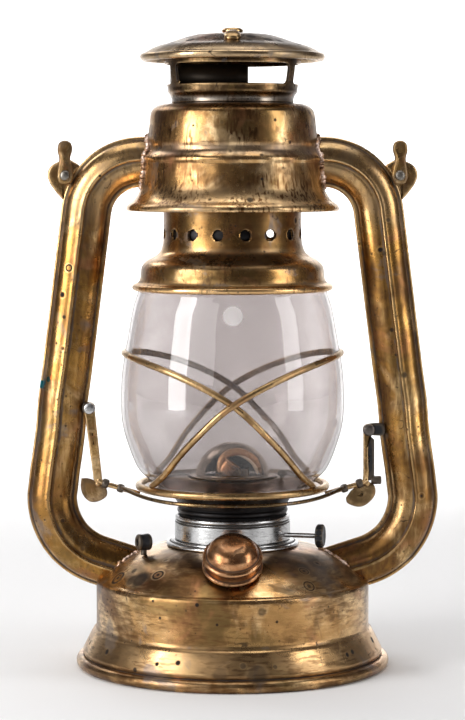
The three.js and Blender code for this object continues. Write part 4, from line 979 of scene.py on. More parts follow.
# Air tubes, swept from the fount round two bends up to the hood
tube = {
    "lowEnd": (-90.4, 88.6), "highEnd": (-73.1, 226.8),  # two places on the leaning stretch
    "top": 252.7, "topBend": 27.5, "lowBend": 33.5, "drop": math.radians(18), "root": -37.0,
    "hoodEnd": -41.5, "half": 12.5, "step": 1.6, "knocks": 14, "knockSize": 0.14, "seed": 8,
    # Half of the section, from the outer seam bead to the inner seam: depth, and place across the tube.
    "section": [
        (0.0, -12.5), (1.1, -12.35), (1.55, -11.7), (1.45, -10.9), (2.0, -10.45), (3.6, -10.2), (5.4, -9.4),
        (7.2, -7.7), (8.6, -5.3), (9.4, -3.0), (9.95, -1.6), (9.7, -0.7), (8.9, -0.3), (8.6, 0.6),
        (8.4, 2.6), (7.6, 5.0), (6.4, 7.0), (4.8, 8.8), (3.0, 9.8), (1.9, 10.2), (1.4, 10.9), (1.3, 11.8),
        (0.9, 12.4), (0.0, 12.5),
    ],
}
tubeLean = math.atan2(tube["highEnd"][0] - tube["lowEnd"][0], tube["highEnd"][1] - tube["lowEnd"][1])


# Where the leaning centre line is at a height, from the place that it passes near the top.
def tubeMiddle(height):
    return tube["highEnd"][0] - (tube["highEnd"][1] - height) * math.tan(tubeLean)


# The centre line in X and Z: straight root, low bend, leaning stretch, top bend and hood end.
def tubeCentreLine():
    up = math.pi / 2 - tubeLean
    across = np.array([math.sin(up), -math.cos(up)])
    reach = tube["topBend"] * math.tan(up / 2)
    start = np.array([tubeMiddle(tube["top"]) - reach * math.cos(up), tube["top"] - reach * math.sin(up)])
    first = turn - tubeLean - up - tube["drop"]
    lowAngles = np.linspace(first, math.pi - tubeLean, 46)
    lowCircle = np.stack([np.cos(lowAngles), np.sin(lowAngles)], 1)
    low = np.array(tube["lowEnd"]) + tube["lowBend"] * (across + lowCircle)
    heading = np.array([-math.sin(first), math.cos(first)])
    root = low[0] + heading * (tube["root"] - low[0][0]) / heading[0]
    topAngles = np.linspace(math.pi - tubeLean, math.pi / 2, 44)
    top = start + tube["topBend"] * (across + np.stack([np.cos(topAngles), np.sin(topAngles)], 1))
    return np.vstack([
        straight((root, low[0]), tube["step"])[:-1], low[:-1],
        straight((low[-1], top[0]), tube["step"])[:-1],
        top[:-1], straight((top[-1], (tube["hoodEnd"], tube["top"])), tube["step"]),
    ])


# The whole section, its second half mirrored in depth, at a step between points.
def tubeSection(step):
    half = spline(tube["section"], step)
    return np.vstack([half, (half * np.array([-1, 1]))[-2:0:-1]])


# The section carried along the centre line, with small knocks that push it sideways.
def tubeGrid():
    section = tubeSection(0.55)
    line = tubeCentreLine()
    points, faces = swept(np.stack([line[:, 0], np.zeros(len(line)), line[:, 1]], 1), section, (0, -1, 0))
    rng = np.random.default_rng(tube["seed"])
    knock = np.zeros(len(line))
    for _ in range(tube["knocks"]):
        place, wide = rng.uniform(0, len(line)), rng.uniform(3, 9)
        knock += rng.normal() * tube["knockSize"] * np.exp(-(((np.arange(len(line)) - place) / wide) ** 2))
    points[:, 0] += np.repeat(knock, len(section))
    return points, faces


tubeShell = tubeGrid()
addPiece("left_tube_shell", *tubeShell, "frame", "aged_brass", brassTube, ("left_air_tube",))
addPiece("right_tube_shell", *halfTurned(tubeShell), "frame", "aged_brass", brassTube, ("right_air_tube",))
print("tubes made")

# Rough solder beads where the tubes meet the hood and the fount
solder = {
    "hoodSize": 1.5, "hoodSeed": 4, "rootSize": 1.1, "rootSeed": 6, "uneven": 0.16, "swell": 0.35,
    "backOff": 22, "reach": 60, "tankRadius": 68.5, "tankTop": 43.5,  # how the root's bead finds the fount
}
aroundTube = tubeSection(1.4)


# A bead along a closed line, shaken a little and swelling and thinning as it goes.
def solderLoop(outline, size, seed):
    rng = np.random.default_rng(seed)
    path = spline(np.vstack([outline, outline[:1]]), 1.0)[:-1]
    path = path + rng.normal(0, solder["uneven"], path.shape)
    scales = 1 + solder["swell"] * np.sin(np.arange(len(path)) * 1.7) * rng.uniform(0.3, 1, len(path))
    return rod(path, size, 10, closed=True, side=(0.3, 0.2, 1), scales=scales)


# The section's outline run straight into the hood: X is where the hood's radius meets each depth.
def hoodLoop():
    depths, heights = aroundTube[:, 0], tube["top"] - aroundTube[:, 1]
    radii = np.interp(heights, hood["seatHeights"], hood["seatRadii"])
    return np.stack([-np.sqrt(np.maximum(radii ** 2 - depths ** 2, 1)), -depths, heights], 1)


# The section's outline pushed along the root until each point is inside the fount.
def rootLoop():
    heading = np.array([math.cos(tube["drop"]), 0, -math.sin(tube["drop"])])
    up = np.array([math.sin(tube["drop"]), 0, math.cos(tube["drop"])])
    end = tubeCentreLine()[0]
    outline = np.array([end[0], 0, end[1]]) - heading * solder["backOff"] + up * aroundTube[:, 1:]
    outline[:, 1] -= aroundTube[:, 0]
    steps = np.arange(0, solder["reach"], 0.25)
    rays = outline[:, None, :] + heading * steps[None, :, None]
    radii = np.hypot(rays[..., 0], rays[..., 1])
    underDome = rays[..., 2] < domeHeight(np.minimum(radii, fount["domeRadius"]))
    inTank = (radii < solder["tankRadius"]) & (rays[..., 2] < solder["tankTop"])
    first = np.where(radii < fount["domeRadius"], underDome, inTank).argmax(axis=1)
    return rays[np.arange(len(rays)), first]


solderBeads = {
    "solder": solderLoop(hoodLoop(), solder["hoodSize"], solder["hoodSeed"]),
    "root_solder": solderLoop(rootLoop(), solder["rootSize"], solder["rootSeed"]),
}
for name, bead in solderBeads.items():
    addPiece("left_" + name, *bead, "frame", "aged_brass", solderRough)
    addPiece("right_" + name, *halfTurned(bead), "frame", "aged_brass", solderRough)

# Bail ears with their rivets and swinging lugs, made for the left and mirrored for the right
bothSides = (("left", lambda grid: grid), ("right", mirrorX))
ears = {
    "pivot": (-83.2, 246.0), "thick": 3.0, "edge": 1.1,
    "nose": [(-81.0, 254.0), (-87.0, 252.8), (-90.8, 250.3), (-92.3, 246.5), (-91.4, 242.8), (-89.2, 239.2),
             (-86.6, 236.0)],
    "seat": {"x": -45.58, "z": 225.2, "radius": 39.4, "start": 167.5, "stop": 141, "count": 9},
    "lug": [
        (-87.3, 245.2), (-86.9, 249.5), (-86.2, 254.5), (-87.0, 258.8), (-86.0, 262.3), (-83.2, 263.4),
        (-80.4, 262.2), (-79.6, 258.8), (-80.6, 254.5), (-79.6, 249.3), (-79.0, 245.4), (-80.4, 242.4),
        (-83.2, 241.6), (-86.0, 242.4),
    ],
    "lugEdge": 1.3, "lugY": -3.7, "lugBulge": 0.25,
}
rivet = {
    "sides": 28, "step": 0.3, "y": -6.9,
    "profile": {
        "head": [(0.02, 0), (1.3, 0.15), (2.3, 0.7), (2.6, 1.5)],
        "underHead": [(1.5, 1.6)],
        "shank": [(1.5, 9.0)],
        "underTail": [(2.6, 9.1)],
        "tail": [(2.3, 9.9), (1.3, 10.4), (0.02, 10.5)],
    },
}
earGrid = plateOf(
    closedCurve([*ears["nose"], *arcPoints(**ears["seat"])], 0.8), ears["thick"], ears["edge"]
)
lugGrid = plateOf(
    closedCurve(ears["lug"], 0.7), ears["thick"], ears["lugEdge"], ears["lugY"], ears["lugBulge"]
)
rivetGrid = facingFront(lathed(rivet), *ears["pivot"], rivet["y"])
for side, placed in bothSides:
    addPiece(side + "_ear", *placed(earGrid), "frame", "aged_brass", brassSmall, (side + "_bail_ear",))
    addPiece(
        side + "_lug_plate", *placed(lugGrid), side + "_lug", "aged_brass", brassSmall, (side + "_bail_lug",)
    )
    addPiece(side + "_rivet", *placed(rivetGrid), "frame", "steel", steelWorn, (side + "_ear_rivet",))
print("ears made")

# Globe: shares of its height and of its widest radius
globe = {
    "low": 90.5, "tall": 100.0, "radius": 56.0, "wall": 1.7, "sides": 160, "step": 0.8, "easing": 17,
    "shares": [
        (0, 0.646), (0.031, 0.732), (0.073, 0.827), (0.133, 0.886), (0.2, 0.93), (0.275, 0.973),
        (0.34, 0.995), (0.435, 1.0), (0.577, 0.989), (0.68, 0.96), (0.78, 0.928), (0.877, 0.897),
        (0.93, 0.874), (0.965, 0.848), (1, 0.829),
    ],
}
globePoints = [
    (globe["radius"] * wide, globe["low"] + globe["tall"] * high) for high, wide in globe["shares"]
]
globeProfile = eased(spline(globePoints, globe["step"]), globe["easing"])
globeGrid = revolved(globeProfile, globe["sides"], wall=globe["wall"])
addPiece("globe_glass", *globeGrid, "carriage", "clear_glass", glassClear, ("globe",))

# Globe plate, and the guard ring round it
plate = {
    "sides": 160, "step": 0.5,
    "profile": {
        "under": [(22.8, 88.7), (40, 88.65), (43.4, 88.9)],
        "rim": [(44.7, 89.6), (44.2, 90.7)],
        "cone": [(42.4, 90.4), (40.0, 90.2), (34, 91.4), (28, 92.6), (24.2, 93.5), (22.9, 93.6)],
        "bore": [(22.8, 88.8)],
    },
}
ring = {"radius": 46.9, "wire": 1.9, "height": 90.6, "count": 180}
addPiece("plate_disc", *lathed(plate), "carriage", "dark_brass", plateBrown, ("globe_plate",))
ringAngles = np.arange(ring["count"]) * turn / ring["count"]
ringGrid = rod(onCircle(ring["radius"], ringAngles, ring["height"]), ring["wire"], 16, closed=True)
addPiece("ring_wire", *ringGrid, "carriage", "aged_brass", brassWire, ("guard_ring",))

# Guard hoops: shares of the half turn from the hoop's top, and of its height
hoop = {
    "wire": 1.65, "low": 93.2, "high": 158.0, "end": math.radians(148), "offGlass": 2.0, "step": 0.02,
    "easing": 25, "crossWidth": 0.13, "standOff": {"left": 0, "right": 3.7}, "lookUp": 1.7,
    "shares": [
        (0, 1), (0.14, 0.99), (0.28, 0.953), (0.4, 0.89), (0.5, 0.803), (0.616, 0.66), (0.717, 0.43),
        (0.81, 0.25), (0.89, 0.09), (1, 0),
    ],
}


# The hoop keeps its distance from the glass, and one of the two stands off further where they cross.
def hoopPath(standOff):
    half = spline(hoop["shares"], hoop["step"])
    half[:, 0] = np.clip(half[:, 0], 0, 1)
    shares = np.vstack([half[::-1] * np.array([-1, 1]), half[1:]])
    height = hoop["low"] + (hoop["high"] - hoop["low"]) * np.clip(shares[:, 1], -0.02, 1.01)
    crossing = np.exp(-(((np.abs(shares[:, 0]) - math.pi / 2 / hoop["end"]) / hoop["crossWidth"]) ** 2))
    glass = [
        np.interp(z, globeProfile[:, 1], globeProfile[:, 0]) for z in (height, height + hoop["lookUp"])
    ]
    reach = np.maximum(np.maximum(*glass) + hoop["offGlass"], ring["radius"]) + standOff * crossing
    return eased(onCircle(-reach, shares[:, 0] * hoop["end"], height), hoop["easing"])


for side, placed in bothSides:
    hoopGrid = rod(hoopPath(hoop["standOff"][side]), hoop["wire"], 16)
    addPiece(
        side + "_hoop_wire", *placed(hoopGrid), "carriage", "aged_brass", brassWire, (side + "_guard_hoop",)
    )

# Stirrup wire: below the ring in front, and out to the levers' fingers at both ends
stirrup = {"wire": 0.95, "radius": 46.9, "flare": 9.1, "low": 86.0, "rise": 4.5, "endY": 9, "endRadius": 56}
stirrupShare = np.linspace(-1, 1, 61)
stirrupBow = stirrupShare ** 4
stirrupSpan = math.pi / 2 - math.asin(stirrup["endY"] / stirrup["endRadius"])
stirrupAngles = stirrupShare * stirrupSpan - math.pi / 2
stirrupPath = onCircle(
    stirrup["radius"] + stirrup["flare"] * stirrupBow, stirrupAngles,
    stirrup["low"] + stirrup["rise"] * stirrupBow
)
stirrupGrid = rod(stirrupPath, stirrup["wire"], 12)
addPiece("stirrup_rod", *stirrupGrid, "carriage", "dark_brass", wireBlack, ("stirrup_wire",))
print("carriage made")

# Lift levers: the strap with its finger, beads, paddle, bracket and screw, in X and Z
lever = {
    "y": -5.1, "thick": 1.8, "edge": 0.7, "eye": 3.0, "step": 0.8,
    "toe": [(-66.6, 92.2), (-65.5, 93.4), (-65.5, 96.5)],
    "finger": [(-67.6, 94.2), (-65.2, 92.4), (-60, 90.8), (-53, 88.7), (-46.5, 86.7)], "fingerRadius": 1.3,
    "boss": (-67.4, 91.9), "bossRadius": 1.5, "bossY": [-5.1, -4.0, -2.3],
    "beadStart": (-65.6, 92.6), "beadWay": (19.1, -6.0),
    "beads": {"outer": (0.1, 2.3), "inner": (0.5, 2.05)},
    "beadSteps": [-1.68, -1.44, -0.84, 0, 0.84, 1.44, 1.68],
    "beadSizes": [0.72, 0.92, 1.02, 1.05, 1.02, 0.92, 0.72],
    "paddleY": -2.0, "paddleThick": 1.6, "paddleBulge": 0.1,
    "bracketY": -3.0, "bracketEdge": 0.5, "bracketEnd": 2.0, "bracketGap": 2.3,
}
leverSides = {
    "left": {
        "pivot": (-71.6, 129.8), "neck": [(-73.7, 125.6)],
        "shin": [(-69.9, 96.5), (-69.6, 94.0), (-68.6, 92.6)],
        "leaf": [(-75.9, 94.3), (-73.4, 94.4), (-69.6, 93.4), (-65.6, 91.6), (-63.2, 88.6), (-63.0, 85.9),
                 (-66.2, 83.1), (-71.4, 82.4), (-75.0, 85.6), (-76.3, 90.2)],
        "screwLook": steelSmall, "paddleLook": brassSmall,
    },
    "right": {
        "pivot": (-68.2, 119.0), "neck": [(-69.0, 115.4), (-68.4, 113.0)],
        "shin": [(-68.3, 96.5), (-68.0, 94.0), (-67.64, 92.6)],
        "leaf": [(-57.0, 84.4), (-59.2, 87.6), (-63.6, 91.2), (-67.6, 92.6), (-71.0, 91.0), (-71.8, 86.6),
                 (-69.2, 82.6), (-65.0, 80.0), (-60.2, 80.5), (-57.4, 82.2)],
        "screwLook": steelDark, "paddleLook": brassPaddle,
    },
}
screw = {
    "sides": 32, "step": 0.25, "y": -7.7,
    "profile": {
        "head": [(0.02, 0.0), (1.6, 0.1), (2.7, 0.6), (3.0, 1.3)], "underHead": [(1.3, 1.4)],
        "shank": [(1.3, 5.6)],
    },
}


# The strap hangs from its eye, and its finger reaches in under the guard ring.
def strapGrid(part):
    eye = arcPoints(*part["pivot"], lever["eye"], -20, 200, 16)
    outline = runs(
        lever["step"], [*eye, part["neck"][0]], [*part["neck"][1:], part["shin"][0]],
        [*part["shin"][1:], *lever["toe"]], [eye[0]],
    )[:-1]
    strap = plateOf(outline, lever["thick"], lever["edge"], lever["y"])
    finger = rod(spline([(x, lever["y"], z) for x, z in lever["finger"]], 0.7), lever["fingerRadius"], 14)
    boss = rod([(lever["boss"][0], y, lever["boss"][1]) for y in lever["bossY"]], lever["bossRadius"], 18)
    return merged(strap, finger, boss)


# A barrel on the finger, at a share of the way along it.
def beadGrid(share, radius):
    way = np.array([lever["beadWay"][0], 0, lever["beadWay"][1]])
    middle = np.array([lever["beadStart"][0], lever["y"], lever["beadStart"][1]]) + share * way
    steps = np.array(lever["beadSteps"])[:, None] * way / np.linalg.norm(way)
    return rod(middle + steps, radius, 20, scales=lever["beadSizes"])


# The bracket reaches from the tube's inner edge to the pivot.
def bracketGrid(part):
    px, pz = part["pivot"]
    edge = tubeMiddle(pz) + tube["half"] / math.cos(tubeLean) - lever["bracketGap"]
    eye = arcPoints(px, pz, lever["eye"], -90, 90, 12)
    ends = [(edge, pz + lever["bracketEnd"]), (edge, pz - lever["bracketEnd"])]
    outline = closedCurve([*eye, *ends], lever["step"])
    return plateOf(outline, lever["thick"], lever["bracketEdge"], lever["bracketY"])


for side, placed in bothSides:
    part, body = leverSides[side], side + "_lever"
    leafGrid = plateOf(
        closedCurve(part["leaf"], 0.7), lever["paddleThick"], lever["edge"], lever["paddleY"],
        lever["paddleBulge"]
    )
    screwGrid = facingFront(lathed(screw), *part["pivot"], screw["y"])
    strap = placed(strapGrid(part))
    addPiece(side + "_lever_strap", *strap, body, "aged_brass", brassSmall, (side + "_lift_lever",))
    for place, (share, radius) in lever["beads"].items():
        bead = placed(beadGrid(share, radius))
        addPiece(
            side + "_bead_" + place, *bead, body, "black_metal", blackSmall, (side + "_" + place + "_bead",)
        )
    leaf = placed(leafGrid)
    addPiece(side + "_thumb_paddle", *leaf, body, "aged_brass", part["paddleLook"], (side + "_paddle",))
    bracket = placed(bracketGrid(part))
    addPiece(
        side + "_bracket_plate", *bracket, "frame", "dark_brass", blackSmall, (side + "_lever_bracket",)
    )
    addPiece(
        side + "_pivot_screw", *placed(screwGrid), "frame", "steel", part["screwLook"],
        (side + "_lever_screw",)
    )

# The right lever's folded side, a black sheet that is painted shade, with a short stub
flange = {
    "y": -3.9, "thick": 1.0, "edge": 0.35, "step": 0.8,
    "top": [(-66.0, 114.0), (-67.4, 115.2), (-69.8, 115.2), (-71.1, 113.9)],
    "bottom": [(-70.6, 94.2), (-68.4, 93.4), (-66.0, 94.2)], "outerLow": (-71.1, 96.0),
    "stubX": [-69.6, -70.4, -72.4, -74.0, -74.6], "stubHeight": 93.6, "stubRadius": 2.1,
    "stubSizes": [0.8, 1, 1, 1, 0.8],
}
flangeOutline = runs(
    flange["step"], flange["top"], [flange["outerLow"]], flange["bottom"], [flange["top"][0]]
)[:-1]
flangeStub = rod(
    [(x, flange["y"], flange["stubHeight"]) for x in flange["stubX"]], flange["stubRadius"], 20,
    scales=flange["stubSizes"],
)
flangeGrid = merged(plateOf(flangeOutline, flange["thick"], flange["edge"], flange["y"]), flangeStub)
addPiece("right_lever_flange", *mirrorX(flangeGrid), "right_lever", "black_metal", blackSmall)
print("levers made")

# Bell, with a ring of air holes
bell = {
    "sides": 330, "step": 0.62, "wall": 1.1, "radius": 34.5,
    "profile": {
        "bead": [(47.6, 188.9), (48.8, 188.75), (50.1, 189.6), (50.3, 190.6), (49.6, 191.7), (48.2, 192.3)],
        "skirt": [(46.9, 193.2), (46.2, 195.0), (45.9, 198.0), (45.4, 200.6), (44.2, 202.4), (41.8, 204.3),
                  (38.6, 206.0), (36.4, 208.0), (35.2, 211.0), (34.6, 215.0), (34.5, 219.0)],
        "side": [(34.5, 235.4)],
        "top": [(34.1, 235.95), (33.4, 236.0), (28.9, 236.0)],
    },
    "holes": 16, "holeRadius": 2.75, "holeHeight": 217.0, "phase": math.radians(10.5), "reach": 0.36,
}


# How far a place is from the middle of the nearest hole, round the bell and upwards.
def fromHole(angle, height):
    gap = turn / bell["holes"]
    first = bell["phase"] - math.pi / 2
    return ((angle - first + gap / 2) % gap - gap / 2) * bell["radius"], height - bell["holeHeight"]


# Moves the points that are close to a hole's edge onto it.
def snapHoles(around, height, radius):
    dx, dz = fromHole(around, height)
    away = np.hypot(dx, dz)
    near = (np.abs(away - bell["holeRadius"]) < bell["reach"]) & (radius > 30)
    shift = np.where(near, bell["holeRadius"] / np.maximum(away, 1e-6), 1) - 1
    return around + dx * shift / bell["radius"], height + dz * shift


# True inside a hole.
def inHoles(p):
    return np.hypot(*fromHole(np.arctan2(p[:, 1], p[:, 0]), p[:, 2])) < bell["holeRadius"]


bellGrid = lathed(bell, windows=inHoles, snap=snapHoles)
addPiece("bell_shell", *bellGrid, "chimney", "aged_brass", brassBell, ("bell",))

# Dark sheets inside the bell, painted shade behind its air holes, with a gap at the hole that light shows
# through
liner = {
    "radius": 32.7, "tall": 19.0, "thick": 0.5,
    "spans": {"right": (-50, 50, 100), "left": (64, 296, 232)},  # first and last degree, and points
}
for part, span in liner["spans"].items():
    linerGrid = bentSheet(liner["radius"], *span, bell["holeHeight"], liner["tall"], liner["thick"])
    addPiece(part + "_shade_liner", *linerGrid, "chimney", "dark_steel", steelShade)

# Flue and vent collar
flue = {"radius": 28.4, "low": 232.1, "high": 288.9, "wall": 1.1, "sides": 96, "step": 1.5}
flueLine = straight(((flue["radius"], flue["low"]), (flue["radius"], flue["high"])), flue["step"])
flueGrid = revolved(flueLine, flue["sides"], wall=flue["wall"])
addPiece("flue_pipe", *flueGrid, "chimney", "dark_steel", steelDark, ("flue",))
vent = {
    "sides": 360, "step": 0.5, "wall": 1.1,
    "profile": {
        "foot": [(29.2, 282.1), (30.3, 282.0), (30.4, 283.8), (31.0, 285.4), (32.2, 287.2), (32.5, 289.5),
                 (32.8, 291.0)],
        "cage": [(33.3, 294.3), (33.8, 297.6), (34.0, 301.0)],
        "neck": [(34.2, 305.0), (34.2, 309.2)],
    },
    "windows": 3, "radius": 33.5, "halfAngle": math.radians(55), "halfTall": 5.0, "middle": 296.0,
    "corner": 2.3, "reach": 0.31,
}


# How far a point is outside a window with rounded corners, and the way straight out of it.
def fromWindow(angle, height):
    gap = turn / vent["windows"]
    x = ((angle + math.pi / 2 + gap / 2) % gap - gap / 2) * vent["radius"]
    z = height - vent["middle"]
    cornerX = np.abs(x) - (vent["halfAngle"] * vent["radius"] - vent["corner"])
    cornerZ = np.abs(z) - (vent["halfTall"] - vent["corner"])
    outX, outZ = np.maximum(cornerX, 0), np.maximum(cornerZ, 0)
    reach = np.hypot(outX, outZ)
    away = reach + np.minimum(np.maximum(cornerX, cornerZ), 0) - vent["corner"]
    bent = reach > 1e-9
    wayX = np.where(bent, outX / np.maximum(reach, 1e-9), cornerX > cornerZ) * np.sign(x)
    wayZ = np.where(bent, outZ / np.maximum(reach, 1e-9), cornerX <= cornerZ) * np.sign(z)
    return away, wayX, wayZ


# Moves the points that are close to a window's edge onto it.
def snapWindows(around, height, radius):
    away, wayX, wayZ = fromWindow(around, height)
    shift = np.where(np.abs(away) < vent["reach"], away, 0)
    return around - shift * wayX / vent["radius"], height - shift * wayZ


# True inside a window.
def inWindows(p):
    return fromWindow(np.arctan2(p[:, 1], p[:, 0]), p[:, 2])[0] < 0


ventGrid = lathed(vent, windows=inWindows, snap=snapWindows)
addPiece("vent_shell", *ventGrid, "chimney", "dark_brass", brassVent, ("vent_collar",))
baffle = {"radius": 30.6, "span": (75, 203, 60), "height": 296.0, "tall": 12.2, "thick": 0.8}
baffleGrid = bentSheet(baffle["radius"], *baffle["span"], baffle["height"], baffle["tall"], baffle["thick"])
addPiece("baffle_sheet", *baffleGrid, "chimney", "black_metal", blackSmall, ("draft_baffle",))

# Canopy with a rolled edge, and its lift knob
canopy = {
    "sides": 224, "step": 0.5, "wall": 1.0, "dent": 0.12, "seed": 21,
    "profile": {
        "rolledEdge": [
            (42.2, 305.0), (42.5, 303.6), (43.4, 302.7), (44.6, 302.6), (45.6, 303.3), (46.05, 304.4),
            (45.85, 305.5), (45.1, 306.3), (44.0, 306.6),
        ],
        "crown": [
            (42.6, 307.5), (38.3, 309.65), (31.5, 311.65), (25.8, 313.65), (19.4, 315.5), (9, 316.15),
            (2.6, 316.2),
        ],
    },
}
button = {
    "sides": 64, "step": 0.25,
    "profile": {
        "under": [(0.02, 313.9), (2.6, 313.9)],
        "shank": [(2.7, 316.3)],
        "head": [(4.6, 316.5), (5.3, 317.3), (5.1, 318.2), (4.1, 318.9), (2.2, 319.2), (0.02, 319.25)],
    },
}
addPiece("canopy_shell", *lathed(canopy), "chimney", "dark_brass", brassTop, ("canopy",))
addPiece("top_button", *lathed(button), "chimney", "dark_brass", brassWire, ("lift_knob",))

# Canopy latch: a flattened rod that widens towards the edge
latch = {
    "line": [(0, -5.0, 316.7), (0, -14, 316.5), (0, -20, 315.9), (0, -26, 314.2), (0, -31, 312.3)],
    "step": 0.8, "count": 24, "flat": 0.5,
    "shares": [0, 0.4, 0.58, 0.74, 0.9, 1], "widths": [1.9, 1.6, 2.4, 4.1, 4.0, 2.6],
}
latchPath = spline(latch["line"], latch["step"])
latchWidths = np.interp(np.linspace(0, 1, len(latchPath)), latch["shares"], latch["widths"])
latchPoints, latchFaces = swept(latchPath, circle(1, latch["count"]), (1, 0, 0), scales=latchWidths)
latchMiddle = np.repeat(latchPath, latch["count"], axis=0)
latchPoints = latchMiddle + (latchPoints - latchMiddle) * np.array([1, latch["flat"], latch["flat"]])
latchGrid = endCaps(latchPoints, latchFaces, len(latchPath), latch["count"])
addPiece("canopy_latch", *latchGrid, "chimney", "dark_brass", brassWire)

# Bell spring, in two halves, baked in place on no body
spring = {"radius": 33, "wire": 0.8, "low": 237.1, "high": 279.3, "turns": 8, "perTurn": 40}
coilShare = np.linspace(0, 1, spring["turns"] * spring["perTurn"])
coilHeight = spring["low"] + (spring["high"] - spring["low"]) * coilShare
coilPath = onCircle(spring["radius"], coilShare * spring["turns"] * turn, coilHeight)
halfWay = len(coilPath) // 2
upperGrid = rod(coilPath[halfWay:], spring["wire"], 10)
lowerGrid = rod(coilPath[:halfWay + 1], spring["wire"], 10)
upperCoil = addPiece("spring_upper", *upperGrid, None, "steel", steelSmall, ("bell_spring",))
lowerCoil = addPiece("spring_lower", *lowerGrid, None, "steel", steelSmall, ("bell_spring",))
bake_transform(upperCoil)
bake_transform(lowerCoil)
print("chimney made")

# Wick, turned with its works
works = math.radians(-12)
wick = {"halfWide": 7.0, "halfThick": 1.1, "low": 30, "high": 100.9, "rows": 72, "count": 40}
wickAngles = np.arange(wick["count"]) * turn / wick["count"]
wickCos, wickSin = np.cos(wickAngles), np.sin(wickAngles)
wickSection = np.stack([
    wick["halfWide"] * np.sign(wickCos) * np.abs(wickCos) ** 0.25,
    wick["halfThick"] * np.sign(wickSin) * np.abs(wickSin) ** 0.6,
], 1)
wickPath = np.zeros((wick["rows"], 3))
wickPath[:, 2] = np.linspace(wick["low"], wick["high"], wick["rows"])
wickPoints, wickFaces = endCaps(*swept(wickPath, wickSection, (1, 0, 0)), wick["rows"], wick["count"])
wickPoints = turnedAbout(wickPoints, (0, 0, 1), works)
addPiece("wick_ribbon", wickPoints, wickFaces, "wick_strip", "cotton", cottonWick, ("wick",))

# Wick knob with a milled edge
knob = {
    "sides": 96, "step": 0.3, "teeth": 24, "toothShare": 0.035, "milledFrom": 5.2, "place": (0, -6.0, 67.0),
    "profile": {
        "back": [(0.02, 43.9), (3.4, 43.9)],
        "rim": [(4.9, 44.0), (5.5, 44.6), (5.6, 46.0), (5.5, 47.3), (4.9, 47.9)],
        "face": [(2.0, 47.6), (0.02, 47.5)],
    },
}
knobPoints, knobFaces = lathed(knob)
knobTeeth = np.sign(np.sin(knob["teeth"] * np.arctan2(knobPoints[:, 1], knobPoints[:, 0])))
onRim = np.hypot(knobPoints[:, 0], knobPoints[:, 1]) > knob["milledFrom"]
knobPoints[:, :2] *= (1 + knob["toothShare"] * knobTeeth * onRim)[:, None]
knobPoints = turnedAbout(alongX(knobPoints) + np.array(knob["place"]), (0, 0, 1), works)
addPiece("knob_wheel", knobPoints, knobFaces, "wick_raiser", "black_metal", blackSmall, ("wick_knob",))

# Flame cowl, with the curled copper sheet and a pale rod along the curl's inside that is a painted highlight
cowl = {
    "sides": 72, "step": 0.3, "lean": math.radians(38), "place": (-4.7, -9.4, 98.23),
    "profile": {
        "outside": [(4.3, 0.1), (4.55, 3.0), (4.5, 5.6)],
        "lip": [(4.9, 6.3), (5.4, 6.5), (5.5, 6.9), (5.0, 7.0)],
        "fold": [(4.2, 6.8), (3.8, 6.2)],
        "inside": [(3.7, 3.0), (3.7, 0.1)],
    },
}
cowlPoints, cowlFaces = lathed(cowl)
cowlPoints = turnedAbout(cowlPoints, (0, 1, 0), cowl["lean"]) + np.array(cowl["place"])
addPiece("cowl_tube", cowlPoints, cowlFaces, "frame", "aged_copper", copperCowl, ("flame_cowl",))
curl = {
    "line": [(-6.2, -12.2, 98.4), (-6.4, -12.0, 102.5), (-4.6, -11.2, 106.2), (-0.8, -10.4, 108.3),
             (4.2, -9.6, 108.4), (9.4, -8.8, 106.0), (13.0, -7.8, 101.6), (14.4, -6.8, 96.6)],
    "shares": [0, 0.2, 0.5, 0.75, 1], "widths": [1.0, 1.7, 2.0, 1.7, 0.8], "step": 0.5,
    "highlightFrom": 0.45, "highlightMove": (-1.5, -1.1, -1.2), "highlightRadius": 0.9, "highlightShares": [0, 0.3, 0.8, 1],
    "highlightWidths": [0.2, 0.8, 1.0, 0.4],
}
curlPath = spline(curl["line"], curl["step"])
curlWidths = np.interp(np.linspace(0, 1, len(curlPath)), curl["shares"], curl["widths"])
curlGrid = rod(curlPath, 1.0, 20, side=(0, -1, 0), scales=curlWidths)
addPiece("cowl_curl", *curlGrid, "frame", "aged_copper", copperCowl)
highlightPath = curlPath[int(curl["highlightFrom"] * len(curlPath)):-3] + np.array(curl["highlightMove"])
highlightWidths = np.interp(np.linspace(0, 1, len(highlightPath)), curl["highlightShares"], curl["highlightWidths"])
highlightGrid = rod(highlightPath, curl["highlightRadius"], 16, side=(0, -1, 0), scales=highlightWidths)
addPiece("cowl_highlight", *highlightGrid, "frame", "aged_copper", copperHighlight)

# Small black stop on the globe plate
stop = {
    "sides": 40, "step": 0.3, "place": (25.0, -3.0, 0),
    "profile": {
        "pin": [(1.1, 90.2), (1.0, 94.6)],
        "head": [(1.9, 95.1), (2.3, 96.4), (1.9, 97.7), (0.9, 98.3), (0.02, 98.4)],
    },
}
stopPoints, stopFaces = lathed(stop)
addPiece(
    "plate_stop", stopPoints + np.array(stop["place"]), stopFaces, "carriage", "black_metal", blackSmall
)

